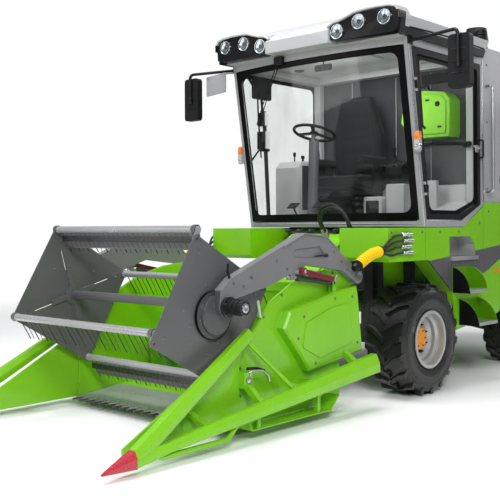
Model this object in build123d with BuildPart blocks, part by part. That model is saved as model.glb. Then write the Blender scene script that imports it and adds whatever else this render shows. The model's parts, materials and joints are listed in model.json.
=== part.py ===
"""Small combine harvester with a 1.5 m header, cab, straight-through body and rear steering.

Millimetres. X is the machine's left, Y points to its rear, Z is up.
The origin is on the ground, under the middle of the front axle.
"""
from build123d import *
from math import cos, hypot, radians, sin
import os

# Running gear
front_axle_y = 0
front_tyre_r = 425
front_tyre_w = 350
front_wheel_x = 840
front_rim_r = 206
front_hub_r = 92
front_disc_x = 870
front_lugs = 18
rear_axle_y = 1960
rear_tyre_r = 335
rear_tyre_w = 250
rear_wheel_x = 690
rear_rim_r = 150
rear_hub_r = 58
rear_disc_x = 700
rear_lugs = 16
flange_lip = 16
bead_fit = 0.3
lug_height = 28
lug_w = 36
front_stub_r = 70
front_stub_end = 700
rear_stub_r = 40
rear_stub_end = 640
kingpin_x = 520
kingpin_r = 25
kingpin_fit = 0.05
boss_r = 50
boss_h = 120
yoke_gap = 0.5
yoke_t = 30
track_arm = 150
ball_r = 9
ball_fit = 0.08
track_rod_r = 13

# Chassis
rail_in = 400
rail_w = 70
rail_web = 12
rail_bottom = 690
rail_top = 790
rail_front = -350
rail_rear = 2650
hitch_y = 2710
hitch_bore_r = 16.5
hitch_plate_t = 16
hitch_length = 60

# Body
body_half = 915
panel_t = 40
sheet_t = 4
cab_floor_z = 1290
cab_floor_t = 50
cab_top_z = 2745
cab_rear_y = 1040
cab_front_low = 50
cab_front_top = -180
door_low_rear = 677
door_corner_z = 1480
glass_t = 8
wall_t = 40
bow = 80
roof_rise = 333
roof_over = 50
upper_step = 10
upper_front = 1062
upper_rear = 2350
upper_bottom = 1500
upper_top = 2850
skin_t = 30
hood_step = 95
hood_end = 3076

# Header, in front of the machine
lift_y = -60
lift_z = 1090
lift_shaft_r = 40
side_in = 770
side_t = 15
knife_y = -1960
auger_y = -1230
auger_z = 375
auger_r = 235
auger_core_r = 105
auger_shaft_r = 20
flight_t = 6
flight_pitch = 300
trough_gap = 20
feeder_half = 300
wall_y = -950
header_floor_z = 62
tip_y = -3096
tip_out = 180

# Reel
reel_y = -2077
reel_z = 819
bat_circle = 483
bat_count = 4
bat_lead = -15.1
bat_r = 17
bat_fit = 0.06
bearing_r = 30
bearing_half = 14
plate_gap = 58
plate_t = 6
reel_tube_r = 30
shaft_r = 20
shaft_fit = 0.06
stub_depth = 60
crank_gap = 16
crank_t = 9
crank_pin_r = 10
control_gap = 34
control_offset = (-30, -53)
control_boss_r = 118
control_flange_r = 145
control_fit = 0.08
tine_len = 180
tine_w = 5
tine_count = 14
tine_angle = 31
board_h = 80
arm_gap = 22
arm_t = 58
arm_pivot_y = -730
arm_pivot_z = 940
torsion_r = 30
torsion_fit = 0.08

# Cylinders
lift_x = 250
lift_foot = (-160, 430)
lift_eye = (-640, 452)
reel_foot = (-1000, 905)
reel_eye = (-1450, 968)
pin_fit = 0.08
ear_t = 8
lift_pin_r = 12
lift_ear_in = 15
lift_eye_gap = 8
reel_pin_r = 8
reel_ear_in = 12
reel_eye_gap = 5

SIDES = (1, -1)

# Places worked out from the sizes above
tip_x = side_in + tip_out
sheet_out = side_in + side_t
arm_in = side_in + arm_gap
plate_x = side_in - plate_gap
crank_x = plate_x + crank_gap
control_x = plate_x + control_gap
reel_ram_x = arm_in + arm_t / 2
upper_half = body_half - upper_step
hood_half = body_half - hood_step
roof_half = body_half + roof_over
tip_base_y = tip_y + 200


def side_plane(x, side=1):
    """Plane whose local axes are the machine's Y and Z, at the distance x from the middle."""
    return Plane.YZ.offset(side * x)


def slab(points, x_from, x_to, side=1, corner=0):
    """Flat piece with an outline in Y and Z, between two distances from the middle; corner rounds it."""
    with BuildPart(mode=Mode.PRIVATE) as piece:
        with BuildSketch(side_plane(x_from, side)) as outline:
            with BuildLine():
                Polyline(*points, close=True)
            make_face()
            if corner:
                fillet(outline.vertices(), corner)
        extrude(amount=side * (x_to - x_from))
    return piece.part


def cross_slab(points, y_from, y_to, corner=0):
    """Flat piece with an outline in X and Z, between two places along the machine."""
    with BuildPart(mode=Mode.PRIVATE) as piece:
        with BuildSketch(Plane.XZ.offset(-y_from)) as outline:
            with BuildLine():
                Polyline(*points, close=True)
            make_face()
            if corner:
                fillet(outline.vertices(), corner)
        extrude(amount=y_from - y_to)
    return piece.part


def lip(points, x_from, x_to, thickness, side=1):
    """Sheet edge that follows a line in Y and Z, between two distances from the middle."""
    with BuildPart(mode=Mode.PRIVATE) as piece:
        with BuildSketch(side_plane(x_from, side)):
            with BuildLine():
                Polyline(*points)
            trace(line_width=thickness)
        extrude(amount=side * (x_to - x_from))
    return piece.part


def rod(start, end, radius):
    """Round bar between two points."""
    a = Vector(*start)
    b = Vector(*end)
    with BuildPart(mode=Mode.PRIVATE) as piece:
        with BuildSketch(Plane(origin=a, z_dir=b - a)):
            Circle(radius)
        extrude(amount=(b - a).length)
    return piece.part


def tube(points, radius, bend):
    """Round bar along a line of points with its bends rounded."""
    with BuildPart(mode=Mode.PRIVATE) as piece:
        with BuildLine() as path:
            FilletPolyline(*points, radius=bend)
        with BuildSketch(Plane(origin=path.line @ 0, z_dir=path.line % 0)):
            Circle(radius)
        sweep()
    return piece.part


def bar(start, end, width, height):
    """Box section between two points; its height stands upright."""
    a = Vector(*start)
    b = Vector(*end)
    along = (b - a).normalized()
    across = along.cross(Vector(0, 0, 1)).normalized()
    with BuildPart(mode=Mode.PRIVATE) as piece:
        with BuildSketch(Plane(origin=a, x_dir=across, z_dir=along)):
            Rectangle(width, height)
        extrude(amount=(b - a).length)
    return piece.part


def ridge(start, end, start_size, end_size):
    """Tapered bar with a ridged top between two points; each end's size is its width and height."""
    a = Vector(*start)
    b = Vector(*end)
    along = (b - a).normalized()
    across = along.cross(Vector(0, 0, 1)).normalized()
    with BuildPart(mode=Mode.PRIVATE) as piece:
        for place, (width, height) in ((a, start_size), (b, end_size)):
            with BuildSketch(Plane(origin=place, x_dir=across, z_dir=along)):
                with BuildLine():
                    Polyline((-width / 2, height / 2), (-width / 2, 0), (-width / 4, -height / 2),
                             (width / 4, -height / 2), (width / 2, 0), (width / 2, height / 2), close=True)
                make_face()
        loft()
    return piece.part


def block(x, y, z):
    """Box given by its lowest and highest value on each axis."""
    size = [high - low for low, high in (x, y, z)]
    middle = [(high + low) / 2 for low, high in (x, y, z)]
    with BuildPart(mode=Mode.PRIVATE) as piece:
        with Locations(tuple(middle)):
            Box(*size)
    return piece.part


def disc(x_from, x_to, y, z, radius):
    """Round disc or shaft that lies across the machine."""
    return rod((x_from, y, z), (x_to, y, z), radius)


def both(side, near, far):
    """Two distances from the middle as an ordered range on one side."""
    return tuple(sorted((side * near, side * far)))


os.makedirs("parts", exist_ok=True)
pieces = {}

# Wheels: tyre with slanted lugs, rim with a drop centre and a dished disc
WHEELS = (
    # name, centre x, axle y, tyre radius, width, rim radius, hub radius, stub end, disc x, lugs on a side
    ("front", front_wheel_x, front_axle_y, front_tyre_r, front_tyre_w, front_rim_r, front_hub_r,
     front_stub_end, front_disc_x, front_lugs),
    ("rear", rear_wheel_x, rear_axle_y, rear_tyre_r, rear_tyre_w, rear_rim_r, rear_hub_r,
     rear_stub_end, rear_disc_x, rear_lugs),
)
LUG = (
    # share of the half width, share of the half width that it trails
    (-0.05, 0), (0.5, 0.42), (1.1, 0.62),
)


def tyre_body(wheel_plane, wheel_axis, centre, half, tread_r, rim_r):
    """Tyre with bulged walls up to a tread radius."""
    wall_x = half - 20
    lip_r = rim_r + flange_lip + 4
    with BuildPart(mode=Mode.PRIVATE) as body:
        with BuildSketch(wheel_plane):
            with BuildLine():
                ThreePointArc((centre - wall_x, lip_r), (centre - half, (lip_r + tread_r) / 2),
                              (centre - wall_x, tread_r))
                Line((centre - wall_x, tread_r), (centre + wall_x, tread_r))
                ThreePointArc((centre + wall_x, tread_r), (centre + half, (lip_r + tread_r) / 2),
                              (centre + wall_x, lip_r))
                Polyline((centre + wall_x, lip_r), (centre + wall_x - 2, rim_r + bead_fit),
                         (centre - wall_x + 2, rim_r + bead_fit), (centre - wall_x, lip_r))
            make_face()
        revolve(axis=wheel_axis)
    return body.part


def tyre_lug(envelope, centre, axle_y, half, tyre_r, way):
    """Lug at the tyre's top, from the tread's middle to one shoulder; it trails towards the shoulder."""
    front_edge = [(way * share * half, trail * half) for share, trail in LUG]
    rear_edge = [(x, y + lug_w) for x, y in front_edge]
    with BuildPart(mode=Mode.PRIVATE) as piece:
        with BuildSketch(Plane(origin=(centre, axle_y, 2 * tyre_r - 2.4 * lug_height))):
            with BuildLine():
                Polyline(*front_edge, *reversed(rear_edge), close=True)
            make_face()
        extrude(amount=3 * lug_height)
        add(envelope, mode=Mode.INTERSECT)
    return piece.part


for name, centre, axle_y, tyre_r, tyre_w, rim_r, hub_r, stub_end, disc_x, lugs in WHEELS:
    half = tyre_w / 2
    wheel_plane = Plane(origin=(0, axle_y, tyre_r), x_dir=(1, 0, 0), z_dir=(0, -1, 0))
    wheel_axis = Axis((0, axle_y, tyre_r), (1, 0, 0))
    envelope = tyre_body(wheel_plane, wheel_axis, centre, half, tyre_r, rim_r)
    step = 360 / lugs
    outer_lug = tyre_lug(envelope, centre, axle_y, half, tyre_r, 1)
    inner_lug = tyre_lug(envelope, centre, axle_y, half, tyre_r, -1).rotate(wheel_axis, step / 2)
    with BuildPart() as tyre:
        add(tyre_body(wheel_plane, wheel_axis, centre, half, tyre_r - lug_height, rim_r))
        add([lug.rotate(wheel_axis, step * turn) for turn in range(lugs) for lug in (outer_lug, inner_lug)])
    with BuildPart() as tyre_mirrored:
        add(mirror(tyre.part, about=Plane.YZ, mode=Mode.PRIVATE))
    pieces[f"tyre_{name}_left"] = tyre
    pieces[f"tyre_{name}_right"] = tyre_mirrored

    rim_in = centre - half + 6
    rim_out = centre + half - 6
    seat_w = 0.1 * tyre_w
    drop = 0.13 * rim_r
    with BuildPart() as rim:
        with BuildSketch(wheel_plane):
            with BuildLine():
                Polyline(
                    (stub_end, 0),
                    (stub_end, hub_r),
                    (disc_x - 4, hub_r),
                    (disc_x - 4, rim_r * 0.64),
                    (disc_x + 28, rim_r - drop - 8),
                    (rim_in + 2 * seat_w, rim_r - drop - 8),
                    (rim_in + 1.4 * seat_w, rim_r - 8),
                    (rim_in, rim_r - 8),
                    (rim_in, rim_r + flange_lip),
                    (rim_in + 9, rim_r + flange_lip),
                    (rim_in + 9, rim_r),
                    (rim_in + 1.3 * seat_w, rim_r),
                    (rim_in + 1.9 * seat_w, rim_r - drop),
                    (rim_out - 1.9 * seat_w, rim_r - drop),
                    (rim_out - 1.3 * seat_w, rim_r),
                    (rim_out - 9, rim_r),
                    (rim_out - 9, rim_r + flange_lip),
                    (rim_out, rim_r + flange_lip),
                    (rim_out, rim_r - 8),
                    (rim_out - 1.4 * seat_w, rim_r - 8),
                    (rim_out - 2 * seat_w, rim_r - drop - 8),
                    (disc_x + 38, rim_r - drop - 8),
                    (disc_x + 6, rim_r * 0.68),
                    (disc_x + 6, hub_r),
                    (disc_x + 20, hub_r - 6),
                    (disc_x + 20, 0),
                    close=True,
                )
            make_face()
        revolve(axis=wheel_axis)
    with BuildPart() as rim_mirrored:
        add(mirror(rim.part, about=Plane.YZ, mode=Mode.PRIVATE))
    pieces[f"rim_{name}_left"] = rim
    pieces[f"rim_{name}_right"] = rim_mirrored

# Axles: driven front beam with its differential and end drives, and the arched rear beam on its pivot
differential_r = 150
end_drive_r = 130
front_beam_r = 75
beam_half = 55
king_low = rear_tyre_r - boss_h / 2
king_high = rear_tyre_r + boss_h / 2
pivot_z = 430
pivot_r = 35
REAR_BEAM = (
    # x, z of the lower edge from the middle outwards, then of the upper edge back
    (200, king_low + 45), (430, king_low + 12), (kingpin_x - 20, king_low + 12),
    (kingpin_x - 20, king_high - 10), (430, king_high - 10), (200, pivot_z + 40),
)
with BuildPart() as axles:
    with BuildSketch(Plane.XZ):
        with BuildLine():
            Polyline((0, front_tyre_r), (0, front_tyre_r + differential_r),
                     (90, front_tyre_r + differential_r),
                     (170, front_tyre_r + front_beam_r + 20), (300, front_tyre_r + front_beam_r),
                     (560, front_tyre_r + front_beam_r),
                     (560, front_tyre_r), close=True)
        make_face()
    revolve(axis=Axis((0, front_axle_y, front_tyre_r), (1, 0, 0)))
    mirror(about=Plane.YZ)
    for side in SIDES:
        add(disc(side * 555, side * 640, front_axle_y, front_tyre_r, end_drive_r))
        add(disc(side * 635, side * front_stub_end, front_axle_y, front_tyre_r, front_stub_r))
        add(block(both(side, rail_in, rail_in + rail_w), (-70, 70), (front_tyre_r + 40, rail_bottom)))
    add(cross_slab(REAR_BEAM + tuple((-x, z) for x, z in reversed(REAR_BEAM)), rear_axle_y - beam_half,
                   rear_axle_y + beam_half))
    for plate_y in (rear_axle_y - beam_half - 25, rear_axle_y + beam_half + 5):
        add(cross_slab(((-150, rail_bottom), (-70, pivot_z - 60), (70, pivot_z - 60), (150, rail_bottom)),
                       plate_y, plate_y + 20, corner=20))
    add(rod((0, rear_axle_y - beam_half - 40, pivot_z - 10),
            (0, rear_axle_y + beam_half + 40, pivot_z - 10), pivot_r))
    add(block((-rail_in - rail_w, rail_in + rail_w), (rear_axle_y - 90, rear_axle_y + 90),
              (rail_bottom - 35, rail_bottom)))
    for side in SIDES:
        king = side * kingpin_x
        add(rod((king, rear_axle_y, king_low), (king, rear_axle_y, king_high), boss_r))
    for side in SIDES:
        king = side * kingpin_x
        bore_r = kingpin_r + kingpin_fit
        add(rod((king, rear_axle_y, king_low - 10), (king, rear_axle_y, king_high + 10), bore_r),
            mode=Mode.SUBTRACT)
    for side in SIDES:
        foot_y, foot_z = lift_foot
        for ear in (-lift_ear_in - ear_t, lift_ear_in):
            ear_x = (side * lift_x + ear, side * lift_x + ear + ear_t)
            add(block(ear_x, (foot_y - 26, -60), (foot_z - 26, foot_z + 26)))
    for side in SIDES:
        add(disc(side * lift_x - 40, side * lift_x + 40, *lift_foot, lift_pin_r + pin_fit),
            mode=Mode.SUBTRACT)
pieces["axles"] = axles

# Steering knuckles: a yoke round the beam's end, its kingpin, the wheel's stub and the arm for the track rod
yoke_low = king_low - yoke_gap - yoke_t
yoke_high = king_high + yoke_gap
ball_y = rear_axle_y + track_arm
rod_z = king_low + 16
for name, side in (("left", 1), ("right", -1)):
    x = side * kingpin_x
    with BuildPart() as knuckle:
        add(rod((x, rear_axle_y, yoke_low), (x, rear_axle_y, yoke_high + yoke_t), kingpin_r))
        for z in (yoke_low, yoke_high):
            add(rod((x, rear_axle_y, z), (x, rear_axle_y, z + yoke_t), boss_r))
            add(block(both(side, kingpin_x, kingpin_x + 92), (rear_axle_y - boss_r, rear_axle_y + boss_r),
                      (z, z + yoke_t)))
        add(block(both(side, kingpin_x + 62, kingpin_x + 92), (rear_axle_y - boss_r, rear_axle_y + boss_r),
                  (yoke_low, yoke_high + yoke_t)))
        add(disc(side * (kingpin_x + 85), side * rear_stub_end, rear_axle_y, rear_tyre_r, rear_stub_r))
        with BuildSketch(Plane.XY.offset(yoke_low)):
            with BuildLine():
                Polyline((x - 34, rear_axle_y + 20), (x - 16, ball_y), (x + 16, ball_y),
                         (x + 34, rear_axle_y + 20), close=True)
            make_face()
            with Locations((x, ball_y)):
                Circle(22)
        extrude(amount=yoke_t - 5)
        add(rod((x, ball_y, yoke_low), (x, ball_y, rod_z + 22), ball_r))
    pieces[f"knuckle_{name}"] = knuckle
with BuildPart() as tie_rod:
    add(rod((-kingpin_x, ball_y, rod_z), (kingpin_x, ball_y, rod_z), track_rod_r))
    for side in SIDES:
        add(rod((side * kingpin_x, ball_y, rod_z - 15), (side * kingpin_x, ball_y, rod_z + 15), 20))
    for side in SIDES:
        add(rod((side * kingpin_x, ball_y, rod_z - 30), (side * kingpin_x, ball_y, rod_z + 30),
                ball_r + ball_fit),
            mode=Mode.SUBTRACT)
pieces["tie_rod"] = tie_rod

# Chassis: two channel rails, cross members, posts under the cab and outriggers for the side panels
with BuildPart() as chassis:
    for side in SIDES:
        add(block(both(side, rail_in, rail_in + rail_w), (rail_front, rail_rear), (rail_bottom, rail_top)))
    for side in SIDES:
        channel = (rail_bottom + rail_web, rail_top - rail_web)
        add(block(both(side, rail_in + rail_web, rail_in + rail_w + 5), (rail_front - 5, rail_rear + 5),
                  channel),
            mode=Mode.SUBTRACT)
    for side in SIDES:
        for post_y in (70, 560):
            add(block(both(side, rail_in, rail_in + rail_w), (post_y, post_y + 80),
                      (rail_bottom, cab_floor_z)))
        add(slab(((lift_y - 60, rail_bottom), (lift_y - 60, lift_z + 25), (lift_y - 25, lift_z + 60),
                  (lift_y + 25, lift_z + 60),
                  (lift_y + 60, lift_z + 25), (lift_y + 60, rail_bottom)), rail_in, rail_in + rail_w, side))
        for out_y in (640, 1400):
            add(block(both(side, rail_in + rail_web - 2, body_half - sheet_t), (out_y, out_y + 60),
                      (rail_bottom + rail_web, rail_top - rail_web)))
    add(block((-rail_in - 5, rail_in + 5), (rail_rear - 80, rail_rear), (rail_bottom, rail_top)))
    add(block((-rail_in - 5, rail_in + 5), (rail_front, rail_front + 60), (rail_bottom, rail_top - 30)))
    add(disc(-rail_in - rail_w - 5, rail_in + rail_w + 5, lift_y, lift_z, lift_shaft_r + shaft_fit),
        mode=Mode.SUBTRACT)
    hitch_mid = rail_bottom + 50
    for low in (hitch_mid - hitch_length / 2, hitch_mid + hitch_length / 2 - hitch_plate_t):
        with BuildSketch(Plane.XY.offset(low)):
            with BuildLine():
                Polyline((-110, rail_rear - 10), (-60, hitch_y), (60, hitch_y), (110, rail_rear - 10),
                         close=True)
            make_face()
            with Locations((0, hitch_y)):
                Circle(60)
        extrude(amount=hitch_plate_t)
    add(rod((0, hitch_y, rail_bottom), (0, hitch_y, rail_top), hitch_bore_r), mode=Mode.SUBTRACT)
pieces["chassis"] = chassis

# Threshing housing between the rails: round concave belly, straw walker shaft stubs and the grain pan's slope
concave_y = 560
concave_z = 860
concave_r = 330
with BuildPart() as threshing_housing:
    with BuildSketch(Plane.YZ.offset(-rail_in)):
        with BuildLine():
            Polyline((230, concave_z), (110, 900), (110, 1240), (1100, 1240), (1100, 1600), (2310, 1600),
                     (2310, 860), (1900, 720), (1000, 640), (890, concave_z))
            ThreePointArc((890, concave_z), (concave_y, concave_z - concave_r), (230, concave_z))
        make_face()
    extrude(amount=2 * rail_in)
    for rib_y in (1080, 1240, 1400, 1560, 1720):
        add(block((-rail_in + 40, rail_in - 40), (rib_y, rib_y + 24), (620 + 0.08 * (rib_y - 1080), 760)))
pieces["threshing_housing"] = threshing_housing

# Engine on top of the housing
with BuildPart() as engine_block:
    add(block((-300, 300), (1330, 1960), (1600, 2240)))
pieces["engine_block"] = engine_block

# Side panels: sheet pans with the front wheel's arch, the boxed corner under the cab and the top step's niche
arch_low_z = 440
PANEL = (
    (-445, 1060), (-445, cab_floor_z - 5), (door_low_rear, cab_floor_z - 5),
    (cab_rear_y, door_corner_z - 10),
    (cab_rear_y + 15, upper_bottom), (upper_rear, upper_bottom), (upper_rear, 860),
    (1980, 790), (1560, 760), (1346, 550), (1275, 525), (559, arch_low_z), (492, 757), (123, 1030),
    (-420, 1030),
)
niche_front = 445
niche_rear = 905
niche_low = 1035
niche_high = 1213
niche_depth = 170
with BuildPart() as side_panels:
    for side in SIDES:
        add(slab(PANEL, body_half - panel_t, body_half, side))
    for side in SIDES:
        with BuildSketch(side_plane(body_half - panel_t - 1, side)):
            with BuildLine():
                Polyline(*PANEL, close=True)
            make_face()
            offset(amount=-sheet_t, kind=Kind.INTERSECTION, mode=Mode.REPLACE)
        extrude(amount=side * (panel_t + 1 - sheet_t), mode=Mode.SUBTRACT)
    for side in SIDES:
        corner_x = both(side, rail_in + rail_w, body_half - sheet_t)
        add(block(corner_x, (-445, -445 + sheet_t), (1060, cab_floor_z - 5)))
        add(slab(((-445, 1060), (-420, 1030), (60, 1030), (60, 1030 + sheet_t), (-416, 1030 + sheet_t),
                  (-441, 1060)),
                 rail_in + rail_w, body_half - sheet_t, side))
        add(block(both(side, rail_in + rail_w, rail_in + rail_w + sheet_t), (-445, 60),
                  (1030, cab_floor_z - 5)))
        add(slab(((123, 1030), (492, 757), (559, arch_low_z), (563, arch_low_z), (496, 760), (125, 1034)),
                 body_half - 150, body_half - sheet_t, side))
    niche = (
        (niche_front, niche_low), (niche_front, niche_high), (niche_rear - 110, niche_high),
        (niche_rear - 30, niche_high - 70), (niche_rear, niche_low),
    )
    add(slab(niche, body_half - niche_depth, body_half))
    with BuildSketch(side_plane(body_half - niche_depth + sheet_t)):
        with BuildLine():
            Polyline(*niche, close=True)
        make_face()
        offset(amount=-sheet_t, kind=Kind.INTERSECTION, mode=Mode.REPLACE)
    extrude(amount=niche_depth, mode=Mode.SUBTRACT)
pieces["side_panels"] = side_panels

# Upper housing behind the cab, open below, with louvres and the engine's hatch in its flat top
UPPER = ((upper_front, upper_bottom), (upper_front, upper_top - 50), (upper_front + 70, upper_top),
         (1950, upper_top), (upper_rear, 2330), (upper_rear, upper_bottom))
UPPER_INSIDE = ((upper_front + skin_t, upper_bottom - 10), (upper_front + skin_t, upper_top - 65),
                (upper_front + 85, upper_top - skin_t), (1938, upper_top - skin_t),
                (upper_rear - skin_t, 2318), (upper_rear - skin_t, upper_bottom - 10))
hatch_half = 560
hatch_front = 1260
hatch_rear = 1860
hatch_lap = 30
hood_rise = 30
hood_hinge_r = 12
hood_pin_r = 5
louvre_count = 9
louvre_pitch = 52
HOOD_HINGES = (-380, 380)
hood_hinge_y = hatch_rear + hatch_lap + hood_hinge_r + 2
hood_hinge_z = upper_top + hood_hinge_r + 2
with BuildPart() as upper_housing:
    add(slab(UPPER, -upper_half, upper_half))
    add(slab(UPPER_INSIDE, -upper_half + skin_t, upper_half - skin_t), mode=Mode.SUBTRACT)
    add(block((-hatch_half, hatch_half), (hatch_front, hatch_rear), (upper_top - 60, upper_top + 10)),
        mode=Mode.SUBTRACT)
    for side in SIDES:
        for index in range(louvre_count):
            z = 1900 + index * louvre_pitch
            add(slab(((1420, z), (1420, z + 22), (1980, z + 22), (1980, z)), upper_half - 12,
                     upper_half + 1, side),
                mode=Mode.SUBTRACT)
    for x in HOOD_HINGES:
        for low in (x - 45, x + 25):
            add(disc(low, low + 20, hood_hinge_y, hood_hinge_z, hood_hinge_r))
            add(block((low, low + 20), (hood_hinge_y - 8, hood_hinge_y + 30), (upper_top, hood_hinge_z)))
        add(disc(x - 45, x + 45, hood_hinge_y, hood_hinge_z, hood_pin_r))
pieces["upper_housing"] = upper_housing

with BuildPart() as engine_hood:
    hood_y = (hatch_front - hatch_lap, hatch_rear + hatch_lap)
    add(block((-hatch_half - hatch_lap, hatch_half + hatch_lap), hood_y,
              (upper_top, upper_top + hood_rise)))
    chamfer(engine_hood.edges().group_by(Axis.Z)[-1], 12)
    for x in HOOD_HINGES:
        add(disc(x - 24, x + 24, hood_hinge_y, hood_hinge_z, hood_hinge_r))
        add(block((x - 24, x + 24), (hood_y[1] - 5, hood_hinge_y - hood_pin_r),
                  (hood_hinge_z - 4, hood_hinge_z + 8)))
    for x in HOOD_HINGES:
        add(disc(x - 30, x + 30, hood_hinge_y, hood_hinge_z, hood_pin_r + pin_fit), mode=Mode.SUBTRACT)
pieces["engine_hood"] = engine_hood

# Straw hood: a shell open below and at the rear edge, with ribs across its back
HOOD = ((upper_rear, 860), (upper_rear, 2250), (2560, 2080), (hood_end, 1180), (hood_end, 900))
HOOD_INSIDE = ((upper_rear - 5, 840), (upper_rear - 5, 2205), (2545, 2052), (hood_end - skin_t, 1165),
               (hood_end - skin_t, 840))
with BuildPart() as straw_hood:
    add(slab(HOOD, -hood_half, hood_half))
    add(slab(HOOD_INSIDE, -hood_half + skin_t, hood_half - skin_t), mode=Mode.SUBTRACT)
    for side in SIDES:
        add(slab(((2420, 1000), (2420, 2020), (2520, 1960), (2930, 1190), (2930, 1000)), hood_half - 8,
                 hood_half + 1, side,
                 corner=30), mode=Mode.SUBTRACT)
pieces["straw_hood"] = straw_hood

# Cab frame: floor, side frames, rear wall and top ring round the openings
lean = (cab_front_low - cab_front_top) / (cab_top_z - cab_floor_z)
frame_w = 55
ring_h = 60
door_gap = 7
door_frame_w = 45
hinge_out = 12
hinge_back = frame_w + door_gap / 2
hinge_r = 10
hinge_pin_r = 5
hinge_len = 60
HINGES = (1560, 2360)


def front_y(z):
    """Front edge of the cab's side at a height; the front leans forward."""
    return cab_front_low - lean * (z - cab_floor_z)


def bowed_floor(z, inset):
    """Outline of the cab in plan at a height, with its bowed front."""
    half = body_half - inset
    with BuildSketch(Plane.XY.offset(z), mode=Mode.PRIVATE) as plan:
        with BuildLine():
            ThreePointArc((-half, front_y(z)), (0, front_y(z) - bow), (half, front_y(z)))
            Polyline((half, front_y(z)), (half, cab_rear_y - inset), (-half, cab_rear_y - inset),
                     (-half, front_y(z)))
        make_face()
    return plan.sketch


def cab_outline(inset, z_low, z_high):
    """Outline of a cab side between two heights, set in from the front, the cut corner and the rear."""
    return ((front_y(z_low) + inset, z_low), (door_low_rear - inset / 2, z_low),
            (cab_rear_y - inset, door_corner_z),
            (cab_rear_y - inset, z_high), (front_y(z_high) + inset, z_high))


def hinge_point(z):
    """Point on the door's hinge line at a height; the line leans with the front pillar."""
    return (body_half + hinge_out, front_y(z) + hinge_back, z)


glass_low = cab_floor_z + cab_floor_t
glass_high = cab_top_z - 55
opening_high = cab_top_z - ring_h
OUTLINE = cab_outline(0, cab_floor_z, cab_top_z)
OPENING = cab_outline(frame_w, glass_low, opening_high)
with BuildPart() as cab_frame:
    for side in SIDES:
        add(slab(OUTLINE, body_half - wall_t, body_half, side))
    add(extrude(bowed_floor(cab_floor_z, 0), amount=cab_floor_t, mode=Mode.PRIVATE))
    add(extrude(bowed_floor(glass_high, 0), amount=cab_top_z - glass_high, mode=Mode.PRIVATE))
    add(block((-body_half, body_half), (cab_rear_y - wall_t, cab_rear_y), (door_corner_z, cab_top_z)))
    add(slab(((door_low_rear, cab_floor_z), (cab_rear_y, door_corner_z),
              (cab_rear_y, door_corner_z + cab_floor_t),
              (door_low_rear - 10, glass_low)), -body_half, body_half))
    for side in SIDES:
        add(slab(OPENING, body_half - wall_t - 30, body_half + 5, side), mode=Mode.SUBTRACT)
    add(extrude(bowed_floor(cab_top_z - ring_h, 150), amount=80, mode=Mode.PRIVATE), mode=Mode.SUBTRACT)
    add(slab(((door_low_rear, cab_floor_z - 5), (cab_rear_y + 5, door_corner_z),
              (cab_rear_y + 5, cab_floor_z - 5)),
             -body_half - 5, body_half + 5), mode=Mode.SUBTRACT)
    for hinge_z in HINGES:
        for low, high in ((hinge_z - 22, hinge_z - 3), (hinge_z + hinge_len + 3, hinge_z + hinge_len + 22)):
            add(rod(hinge_point(low), hinge_point(high), hinge_r))
            y_list = sorted((front_y(low) + 25, front_y(low) + hinge_back))
            add(block((body_half - 5, body_half + hinge_out), y_list, (low, high)))
        add(rod(hinge_point(hinge_z - 22), hinge_point(hinge_z + hinge_len + 22), hinge_pin_r))
pieces["cab_frame"] = cab_frame


# Glass of the cab: bowed windscreen and the fixed window on the right
def screen_band(z):
    """Bowed band of the windscreen's section at a height."""
    half = body_half - wall_t - 0.5
    y = front_y(z)
    with BuildSketch(Plane.XY.offset(z), mode=Mode.PRIVATE) as band:
        with BuildLine():
            ThreePointArc((-half, y), (0, y - bow), (half, y))
            Line((half, y), (half - 3, y + glass_t))
            ThreePointArc((half - 3, y + glass_t), (0, y - bow + glass_t), (-half + 3, y + glass_t))
            Line((-half + 3, y + glass_t), (-half, y))
        make_face()
    return band.sketch


glass_fit = 0.5
glass_in = body_half - 24
with BuildPart() as cab_glass:
    add(loft([screen_band(glass_low), screen_band(glass_high)], mode=Mode.PRIVATE))
    add(slab(cab_outline(frame_w + glass_fit, glass_low + glass_fit, opening_high - glass_fit), glass_in,
             glass_in + glass_t, -1))
pieces["cab_glass"] = cab_glass

# Door on the left, hinged along the leaning front pillar, with its inner handle
door_inset = frame_w + door_gap
door_t = 35
pane_inset = door_inset + door_frame_w
DOOR = cab_outline(door_inset, glass_low + door_gap, opening_high - door_gap)
DOOR_GLASS = cab_outline(pane_inset, glass_low + door_gap + door_frame_w,
                         opening_high - door_gap - door_frame_w)
with BuildPart() as cab_door:
    add(slab(DOOR, body_half - door_t, body_half, corner=20))
    add(slab(DOOR_GLASS, body_half - door_t - 5, body_half + 5, corner=40), mode=Mode.SUBTRACT)
    for hinge_z in HINGES:
        low_y = front_y(hinge_z) + hinge_back
        add(rod(hinge_point(hinge_z), hinge_point(hinge_z + hinge_len), hinge_r))
        add(block((body_half - 5, body_half + hinge_out), (low_y + 4, low_y + 45),
                  (hinge_z, hinge_z + hinge_len)))
    for hinge_z in HINGES:
        add(rod(hinge_point(hinge_z - 5), hinge_point(hinge_z + hinge_len + 5), hinge_pin_r + pin_fit),
            mode=Mode.SUBTRACT)
    handle_y = cab_rear_y - door_inset - 22
    add(tube(((body_half - 5, handle_y, 1880), (body_half + 40, handle_y, 1880),
              (body_half + 40, handle_y, 2030),
              (body_half - 5, handle_y, 2030)), 8, 14))
pieces["cab_door"] = cab_door
with BuildPart() as door_glass:
    add(slab(DOOR_GLASS, glass_in, glass_in + glass_t, corner=40))
pieces["door_glass"] = door_glass

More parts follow.
